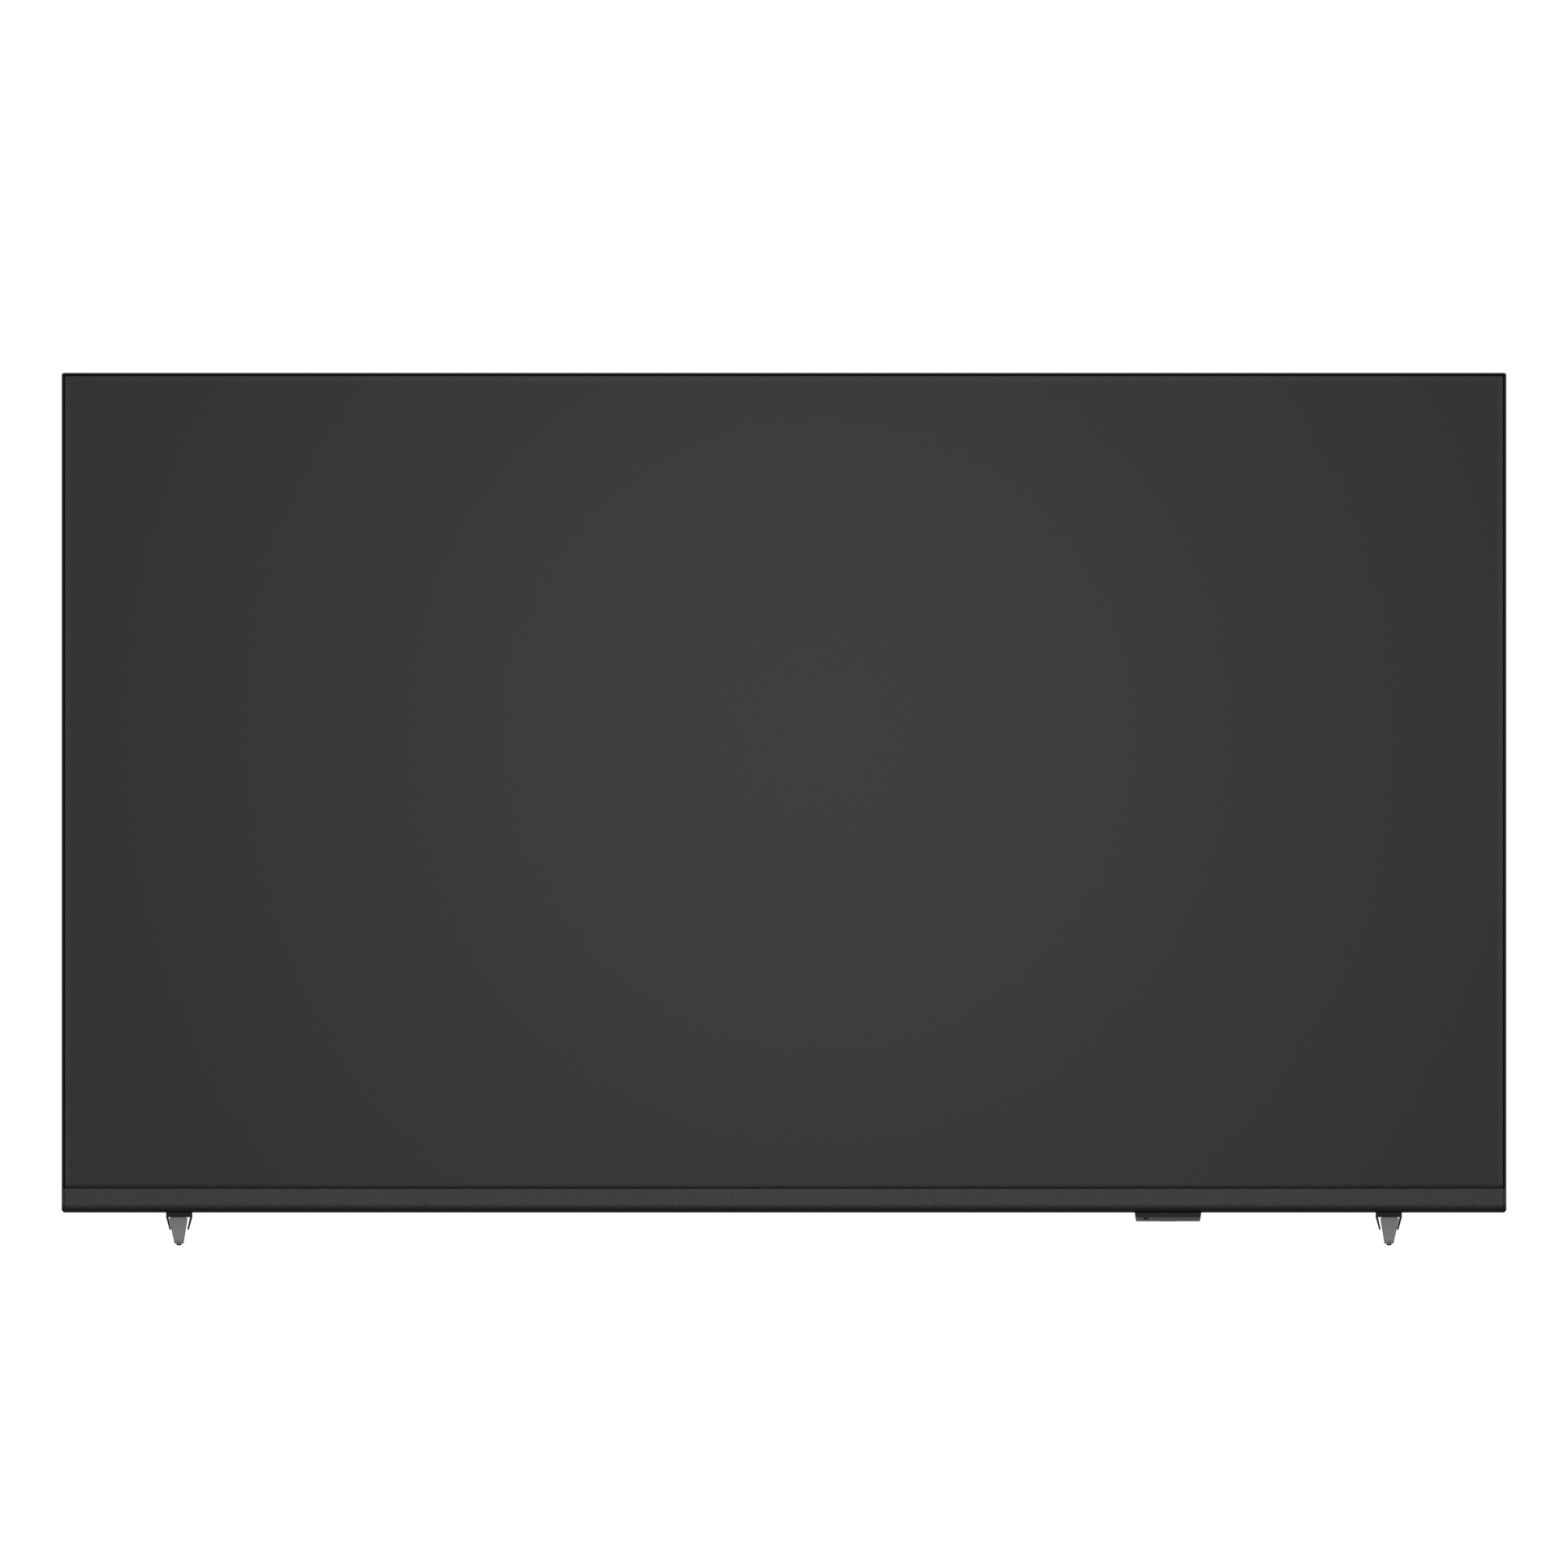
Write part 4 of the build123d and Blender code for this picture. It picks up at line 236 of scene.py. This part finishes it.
# The front film's hard anti-glare coat sends light back as one wide soft glow. Over the pixels their colour
# filters add a little grey; the film's margin lies over black print.
anti_glare, tree, shader = new_finish("anti-glare polariser film", "#080808", Roughness=0.42, IOR=1.4)
film_low, film_high = np.array(corners("front_polariser")) / 1000.0
film_margin = 0.0008
place = add_node(tree, "TexCoord")
spot = add_node(tree, "SeparateXYZ", links={"Vector": place.outputs["Object"]})
across = add_node(tree, "Math", {"operation": "ABSOLUTE"}, links={0: spot.outputs["X"]})
inside_x = add_node(
    tree, "Math", {"operation": "LESS_THAN"}, {1: film_high[0] - film_margin}, {0: across.outputs[0]}
)
over_low = add_node(
    tree, "Math", {"operation": "GREATER_THAN"}, {1: film_low[2] + film_margin}, {0: spot.outputs["Z"]}
)
under_high = add_node(
    tree, "Math", {"operation": "LESS_THAN"}, {1: film_high[2] - film_margin}, {0: spot.outputs["Z"]}
)
inside_z = add_node(
    tree, "Math", {"operation": "MINIMUM"}, links={0: over_low.outputs[0], 1: under_high.outputs[0]}
)
over_pixels = add_node(
    tree, "Math", {"operation": "MINIMUM"}, links={0: inside_x.outputs[0], 1: inside_z.outputs[0]}
)
mottled(tree, shader, over_pixels.outputs[0], "#000000", "#0a0a0a")
dress(anti_glare, "front_polariser")

# The border's ink makes the glass a grainy black. Its grains are far under 1 mm; they are drawn at 1.8 mm so
# that they show. The strip between the film and the bezel is given less shine: painted shade, standing in for
# the shade that the bezel's lip casts on it.
border_glass, tree, shader = new_finish("glass with printed black border", "#111111", Roughness=0.4, IOR=1.42)
noise = roughened(tree, shader, size_mm=1.8, depth_mm=0.05)
mottled(tree, shader, noise.outputs["Fac"], "#060606", "#1a1a1a", start=0.35, end=0.65)
# Painted shade: below strip_top the glass reflects less, in place of the shade under the bezel's lip.
strip_top = film_low[2] + 0.0002
place = add_node(tree, "TexCoord")
spot = add_node(tree, "SeparateXYZ", links={"Vector": place.outputs["Object"]})
strip = add_node(tree, "Math", {"operation": "LESS_THAN"}, {1: strip_top}, {0: spot.outputs["Z"]})
painted_shade_shine = add_node(
    tree, "MapRange", values={"To Min": 0.5, "To Max": 0.27}, links={"Value": strip.outputs[0]}
)
tree.links.new(painted_shade_shine.outputs["Result"], shader.inputs["Specular IOR Level"])
dress(border_glass, "colour_filter_glass")

# Fire polished glass, clear with a green tinge, whose waves are 30 mm long and very shallow.
plain_glass, tree, shader = new_finish(
    "thin alkali-free glass", "#dfe8e4", Roughness=0.03, IOR=1.51, Transmission_Weight=0.9
)
roughened(tree, shader, size_mm=30.0, depth_mm=0.01)
dress(plain_glass, "tft_glass")

# A stretched and dyed film, so a smooth dark grey.
rear_film, tree, shader = new_finish("grey polariser film", "#3c3e40", Roughness=0.2, IOR=1.49)
roughened(tree, shader, size_mm=12.0, depth_mm=0.01)
dress(rear_film, "rear_polariser")

# Cut strips of foam, dead matt, with their cells open at the cut.
closed_foam, tree, shader = new_finish("closed cell foam", "#1b1b1b", Roughness=0.95, IOR=1.2)
roughened(tree, shader, size_mm=0.6, depth_mm=0.1)
dress(closed_foam, "cell_cushions")


# Light box
# Behind the cell a moulded black frame holds three loose sheets: prism film, diffuser film and a milky
# polystyrene plate. White props and a foamed PET reflector with its LEDs and lenses lie behind them.

# The frame is matt black all through, so that no light leaks or shines in the seam round the screen.
frame_plastic, tree, shader = new_finish("moulded black polycarbonate", "#060606", Roughness=0.8, IOR=1.2)
roughened(tree, shader, size_mm=0.8, depth_mm=0.02)
dress(frame_plastic, "middle_frame")


def wave_scale(pitch_mm):
    """The scale of a wave pattern for bands that far apart: at a scale of 1 they repeat every 2 pi / 20 m."""
    return 2.0 * math.pi / 20.0 / (pitch_mm / 1000.0)


# Rows of cast prisms give the film a silky sheen. They are 0.05 mm apart, drawn at 2 mm so that they show.
prisms, tree, shader = new_finish("prism film", "#c8ccd0", Roughness=0.22, IOR=1.5)
place = add_node(tree, "TexCoord")
ridges = add_node(
    tree,
    "TexWave",
    props={"wave_type": "BANDS", "bands_direction": "Z", "wave_profile": "TRI"},
    values={"Scale": wave_scale(2.0), "Distortion": 0.0},
    links={"Vector": place.outputs["Object"]},
)
bump = add_node(tree, "Bump", values={"Distance": 0.0002}, links={"Height": ridges.outputs["Fac"]})
tree.links.new(bump.outputs["Normal"], shader.inputs["Normal"])
dress(prisms, "prism_film")

# Foamed PET scatters light in its bubbles: paper white and matt.
white_sheet, tree, shader = new_finish("matt white PET sheet", "#eeeeea", Roughness=0.85)
roughened(tree, shader, size_mm=0.5, depth_mm=0.01)
dress(white_sheet, "diffuser_film", "reflector_sheet")

# Polystyrene with scattering powder in it, so light sinks in a little: milky, with a soft shine.
milky_plate, tree, shader = new_finish(
    "milky polystyrene", "#e9e9e4", Roughness=0.5, Subsurface_Weight=0.3, Subsurface_Scale=0.002
)
roughened(tree, shader, size_mm=1.0, depth_mm=0.01)
dress(milky_plate, "diffuser_plate", "diffuser_props")

# Screen printed lacquer on the boards, an off-white with a soft gloss.
white_lacquer, tree, shader = new_finish("white lacquered LED board", "#e6e6e0", Roughness=0.4)
roughened(tree, shader, size_mm=2.0, depth_mm=0.01)
dress(white_lacquer, "led_bars")

# Lenses from a polished tool: clear and glossy.
lens_acrylic, tree, shader = new_finish(
    "clear moulded acrylic", "#f4f8fa", Roughness=0.08, IOR=1.49, Transmission_Weight=0.8
)
roughened(tree, shader, size_mm=3.0, depth_mm=0.005)
dress(lens_acrylic, "led_lenses")


# Steel
# The back pan is drawn from zinc coated steel sheet, its two channels are pressed from it, and angles of it
# take the feet. The channels carry turned bosses, and turned posts are riveted into the pan. The boards'
# screws are of the same plated steel.

# Hot dipped zinc freezes in crystals about 8 mm across, the spangle, each a little lighter or duller.
zinc_steel, tree, shader = new_finish("zinc coated steel sheet", "#a4a8aa", Roughness=0.38, Metallic=1.0)
spangle_mm = 8.0
place = add_node(tree, "TexCoord")
spangle = add_node(
    tree, "TexVoronoi", values={"Scale": 1000.0 / spangle_mm}, links={"Vector": place.outputs["Object"]}
)
grey = add_node(tree, "RGBToBW", links={"Color": spangle.outputs["Color"]})
mottled(tree, shader, grey.outputs["Val"], "#9a9ea0", "#b4b8ba")
rough = add_node(
    tree, "MapRange", values={"To Min": 0.3, "To Max": 0.46}, links={"Value": grey.outputs["Val"]}
)
tree.links.new(rough.outputs["Result"], shader.inputs["Roughness"])
dress(zinc_steel, "back_pan", "stiffening_channels", "foot_plates")

# Zinc from a plating bath is even and bright, and fine tool marks show through it.
bright_zinc, tree, shader = new_finish("bright zinc plated steel", "#b9b8b2", Roughness=0.28, Metallic=1.0)
roughened(tree, shader, size_mm=0.7, depth_mm=0.01)
dress(bright_zinc, "wall_mount_bosses", "pan_posts", "board_screws")


# Boards, cables and what is on them
# Glass fibre boards with wound transformers, sleeved capacitors and extruded heat sinks, most of them screwed
# to the pan's posts. Flat cables join the boards, flexes join them to the cell, and wires run to the rest.

# Green mask over copper: the tracks show through lighter. They are drawn 0.9 mm wide, round patches of 4.5 by
# 2.25 mm, coarser than real ones, so that they show.
solder_mask, tree, shader = new_finish("green solder mask", "#16512f", Roughness=0.35)
track_cell_mm = 9.0
place = add_node(tree, "TexCoord")
turned = add_node(
    tree,
    "Mapping",
    values={"Rotation": (math.pi / 2, 0.0, 0.0)},
    links={"Vector": place.outputs["Object"]},
)
tracks = add_node(
    tree,
    "TexBrick",
    props={"offset": 0.5},
    values={
        "Scale": 1000.0 / track_cell_mm,
        "Mortar Size": 0.05,
        "Color1": linear("#16512f"),
        "Color2": linear("#1b5c38"),
        "Mortar": linear("#3b7d55"),
    },
    links={"Vector": turned.outputs["Vector"]},
)
tree.links.new(tracks.outputs["Color"], shader.inputs["Base Color"])
dress(solder_mask, "source_boards", "timing_board", "power_board", "main_board", "sensor_board")

# Moulded chip packages: black and evenly matt.
chip_epoxy, tree, shader = new_finish("black moulding epoxy", "#1c1c1d", Roughness=0.55)
roughened(tree, shader, size_mm=0.5, depth_mm=0.01)
dress(chip_epoxy, "main_board_parts")

# Tape wound by machine over the coils, smooth, with slight waves where turns lie under it.
winding_tape, tree, shader = new_finish("yellow polyester tape", "#c9a227", Roughness=0.3)
roughened(tree, shader, size_mm=3.0, depth_mm=0.05)
dress(winding_tape, "power_transformers")

# Sleeves shrunk on by heat, so a taut dark skin with a soft gloss.
shrink_sleeve, tree, shader = new_finish("dark shrink sleeve", "#26282f", Roughness=0.35)
roughened(tree, shader, size_mm=4.0, depth_mm=0.03)
dress(shrink_sleeve, "power_capacitors")

# Drawn through a die: the metal's faint lines stretch its reflections.
plain_extrusion, tree, shader = new_finish(
    "plain extruded aluminium", "#c2c4c6", Roughness=0.35, Metallic=1.0, Anisotropic=0.5
)
roughened(tree, shader, size_mm=1.0, depth_mm=0.01)
dress(plain_extrusion, "heat_sinks")

# Cast film, glossy and orange, slightly cockled where it bends.
polyimide, tree, shader = new_finish("orange polyimide film", "#a4571f", Roughness=0.25, IOR=1.6)
roughened(tree, shader, size_mm=6.0, depth_mm=0.1)
dress(polyimide, "driver_flexes")

# White film rolled over flat conductors, which show as stripes. They are 0.5 mm apart, drawn at 2 mm so that
# they show.
cable_film, tree, shader = new_finish("white flat cable", "#d8d7d2", Roughness=0.4)
place = add_node(tree, "TexCoord")
stripes = add_node(
    tree,
    "TexWave",
    props={"wave_type": "BANDS", "bands_direction": "X"},
    values={"Scale": wave_scale(2.0), "Distortion": 0.0},
    links={"Vector": place.outputs["Object"]},
)
mottled(tree, shader, stripes.outputs["Fac"], "#c4c3be", "#e2e1dc")
dress(cable_film, "flat_cables")

# Extruded PVC, a smooth black with a soft shine.
wire_sleeve, tree, shader = new_finish("black PVC wire", "#1a1a1a", Roughness=0.45)
roughened(tree, shader, size_mm=2.0, depth_mm=0.03)
dress(wire_sleeve, "mains_leads", "signal_leads")


# Sockets and mains switch
# Sockets soldered to the main board, which look through the walls of one recess in the back, and the mains
# inlet and its switch, clipped into the roof of the other.

# Nickel over folded steel and over the inlet's brass pins: bright, with a warm tinge.
nickel_shell, tree, shader = new_finish("nickel plated shell", "#b8b6ae", Roughness=0.3, Metallic=1.0)
roughened(tree, shader, size_mm=1.0, depth_mm=0.01)
dress(nickel_shell, "video_sockets", "usb_sockets", "inlet_pins")

# Moulded with glass fibre in it, so a dull black.
socket_nylon, tree, shader = new_finish("black moulded nylon", "#151515", Roughness=0.5)
roughened(tree, shader, size_mm=0.7, depth_mm=0.01)
dress(socket_nylon, "network_socket", "sound_sockets", "mains_inlet", "switch_body")

# The rocker comes from a polished tool and is glossier than its body.
rocker_nylon, tree, shader = new_finish("polished black nylon", "#19191a", Roughness=0.22)
roughened(tree, shader, size_mm=5.0, depth_mm=0.01)
dress(rocker_nylon, "switch_rocker")


# Loudspeakers
# Two moulded boxes with a stamped steel basket each, and a paper cone that plays down through slots in the
# cover.

# A plain inside moulding, matt black.
speaker_box, tree, shader = new_finish("moulded black ABS", "#1b1b1b", Roughness=0.6)
roughened(tree, shader, size_mm=0.8, depth_mm=0.02)
dress(speaker_box, "speaker_boxes")

# Zinc passivated black lets some of the metal's shine through.
basket_steel, tree, shader = new_finish("black zinc steel", "#3f4042", Roughness=0.4, Metallic=0.8)
roughened(tree, shader, size_mm=1.0, depth_mm=0.01)
dress(basket_steel, "speaker_drivers")

# Pressed paper pulp with a damping coat: dull, with a slightly fibrous skin.
cone_paper, tree, shader = new_finish("treated cone paper", "#201f1e", Roughness=0.9)
roughened(tree, shader, size_mm=1.5, depth_mm=0.08)
dress(cone_paper, "speaker_cone_left", "speaker_cone_right")


# Rear cover
# One large ABS moulding with vents and two recesses, screwed on from behind with black screws; the same kind
# of screw holds the feet.

# Its tool was etched: a leather-like texture, 1.4 mm across, matt and black from nearly everywhere.
etched_cover, tree, shader = new_finish("etched black ABS", "#1d1d1e", Roughness=0.55)
roughened(tree, shader, size_mm=1.4, depth_mm=0.06, detail=3.0)
dress(etched_cover, "rear_cover")

# Screws passivated black, with some of the metal's shine.
black_zinc, tree, shader = new_finish("black zinc screw", "#232324", Roughness=0.35, Metallic=0.7)
roughened(tree, shader, size_mm=1.0, depth_mm=0.01)
dress(black_zinc, "cover_screws", "foot_screws")


# Sensor module and power button
# A small moulded housing under the bezel. The lower half of its front is a window with a slot for the status
# light, and the power button comes through its floor.

# Moulded in a finely blasted tool: a deep satin black.
sensor_abs, tree, shader = new_finish("satin black ABS", "#0e0e0f", Roughness=0.5, IOR=1.33)
roughened(tree, shader, size_mm=1.0, depth_mm=0.015)
dress(sensor_abs, "sensor_housing", "power_button")

# Acrylic dyed to pass infrared, dark to the eye and smoother than the housing, so a shade lighter.
smoked_acrylic, tree, shader = new_finish("smoked acrylic", "#1b1b1c", Roughness=0.25, IOR=1.49)
roughened(tree, shader, size_mm=5.0, depth_mm=0.01)
dress(smoked_acrylic, "sensor_window")

# The light pipe lies deep in its slot and is off. It is drawn nearly black: a dark pipe, with painted shade
# of its deep slot added to its colour.
light_pipe, tree, shader = new_finish("unlit light pipe", "#050505", Roughness=0.3, IOR=1.12)
roughened(tree, shader, size_mm=1.0, depth_mm=0.01)
dress(light_pipe, "status_light")


# Feet
# A metal bracket under the set at each side, a channel open downwards, with a cast aluminium leg that arches
# to the front and the back and stands on rubber pads.

# Powder coat in black, with an orange peel 1.2 mm across.
bracket_coat, tree, shader = new_finish("black powder coat", "#0e0e0f", Roughness=0.6, IOR=1.35)
roughened(tree, shader, size_mm=1.2, depth_mm=0.02)
dress(bracket_coat, "foot_brackets")

# Grey coat over the casting, satin and slightly uneven. The nose, the last 1.6 mm of each end, is drawn in a
# darker grey as painted shade: its chamfer catches more light than the slope, and the darker grey keeps it
# from standing out.
leg_coat, tree, shader = new_finish("satin grey coated casting", "#7a7a7a", Roughness=0.6, IOR=1.4)
roughened(tree, shader, size_mm=1.5, depth_mm=0.05)
nose_length = 0.0016
nose_from = corners("left_leg")[1][1] / 1000.0 - nose_length
place = add_node(tree, "TexCoord")
spot = add_node(tree, "SeparateXYZ", links={"Vector": place.outputs["Object"]})
along = add_node(tree, "Math", {"operation": "ABSOLUTE"}, links={0: spot.outputs["Y"]})
# Painted shade: the nose's darker grey evens out the extra light on its chamfer.
nose = add_node(tree, "Math", {"operation": "GREATER_THAN"}, {1: nose_from}, {0: along.outputs[0]})
mottled(tree, shader, nose.outputs[0], "#7a7a7a", "#5f5f5f")
dress(leg_coat, "left_leg", "right_leg")

# Moulded rubber, dead matt.
soft_rubber, tree, shader = new_finish("soft black rubber", "#181818", Roughness=0.85)
roughened(tree, shader, size_mm=0.8, depth_mm=0.03)
dress(soft_rubber, "foot_pads")


# Studio
# A pale matt floor, and white all round for the camera. What lights the set is a bright overhead tent that
# fades out below the horizon, and a soft box that gives the screen its round glow.

floor_half = 6.0
floor_corners = [(x * floor_half, y * floor_half, 0.0) for x, y in ((-1, -1), (1, -1), (1, 1), (-1, 1))]
floor_mesh = bpy.data.meshes.new("studio_floor")
floor_mesh.from_pydata(floor_corners, [], [(0, 1, 2, 3)])
pale_floor, tree, shader = new_finish("pale matt floor", "#f2f2f2", Roughness=0.9)
floor_mesh.materials.append(pale_floor)
floor = bpy.data.objects.new("studio_floor", floor_mesh)
bpy.context.scene.collection.objects.link(floor)
# The floor takes shadows, but isn't mirrored in the set and throws no light up at it.
floor.visible_diffuse = False
floor.visible_glossy = False

world = bpy.data.worlds.new("studio")
bpy.context.scene.world = world
world.use_nodes = True
tree = world.node_tree
seen = tree.nodes["Background"]
seen.inputs["Color"].default_value = (1.0, 1.0, 1.0, 1.0)
seen.inputs["Strength"].default_value = 1.05
place = add_node(tree, "TexCoord")
direction = add_node(tree, "SeparateXYZ", links={"Vector": place.outputs["Generated"]})
height = add_node(
    tree, "MapRange", values={"From Min": -1.0, "From Max": 1.0}, links={"Value": direction.outputs["Z"]}
)
tent = add_node(tree, "ValToRGB", links={"Fac": height.outputs["Result"]})
# Height of the direction, from 0 straight down to 1 straight up, and how bright the tent is there.
tent_levels = [
    (0.0, 0.03),
    (0.10, 0.08),
    (0.2, 0.20),
    (0.3, 0.38),
    (0.38, 0.46),
    (0.5, 0.49),
    (0.6, 0.53),
    (1.0, 1.0),
]
while len(tent.color_ramp.elements) < len(tent_levels):
    tent.color_ramp.elements.new(0.5)
for stop, (position, level) in zip(tent.color_ramp.elements, tent_levels):
    stop.position = position
    stop.color = (level, level, level, 1.0)
filled = add_node(tree, "Background", values={"Strength": 1.6}, links={"Color": tent.outputs["Color"]})
path = add_node(tree, "LightPath")
chosen = add_node(
    tree,
    "MixShader",
    links={
        "Fac": path.outputs["Is Camera Ray"],
        1: filled.outputs["Background"],
        2: seen.outputs["Background"],
    },
)
tree.links.new(chosen.outputs["Shader"], tree.nodes["World Output"].inputs["Surface"])

# The soft box stands behind the camera, a little to the right of the screen's middle, and faces the screen.
glow_light = bpy.data.lights.new("front_glow", "AREA")
glow_light.shape = "SQUARE"
glow_light.size = 0.7
glow_light.energy = 6.75
glow = bpy.data.objects.new("front_glow", glow_light)
glow.location = (0.03, -2.2, 0.434)
glow.rotation_euler = (math.pi / 2, 0.0, 0.0)
bpy.context.scene.collection.objects.link(glow)

# The photograph is taken from straight ahead and far away. Its frame is this wide at the set, and its middle
# this high over the floor, in metres.
photo_width = 1.3316
photo_middle = 0.3918
camera_data = bpy.data.cameras.new("camera")
camera_data.type = "ORTHO"
camera_data.ortho_scale = photo_width
camera = bpy.data.objects.new("camera", camera_data)
camera.location = (0.0, -2.0, photo_middle)
camera.rotation_euler = (math.pi / 2, 0.0, 0.0)
bpy.context.scene.collection.objects.link(camera)
bpy.context.scene.camera = camera
bpy.context.scene.view_settings.view_transform = "Standard"
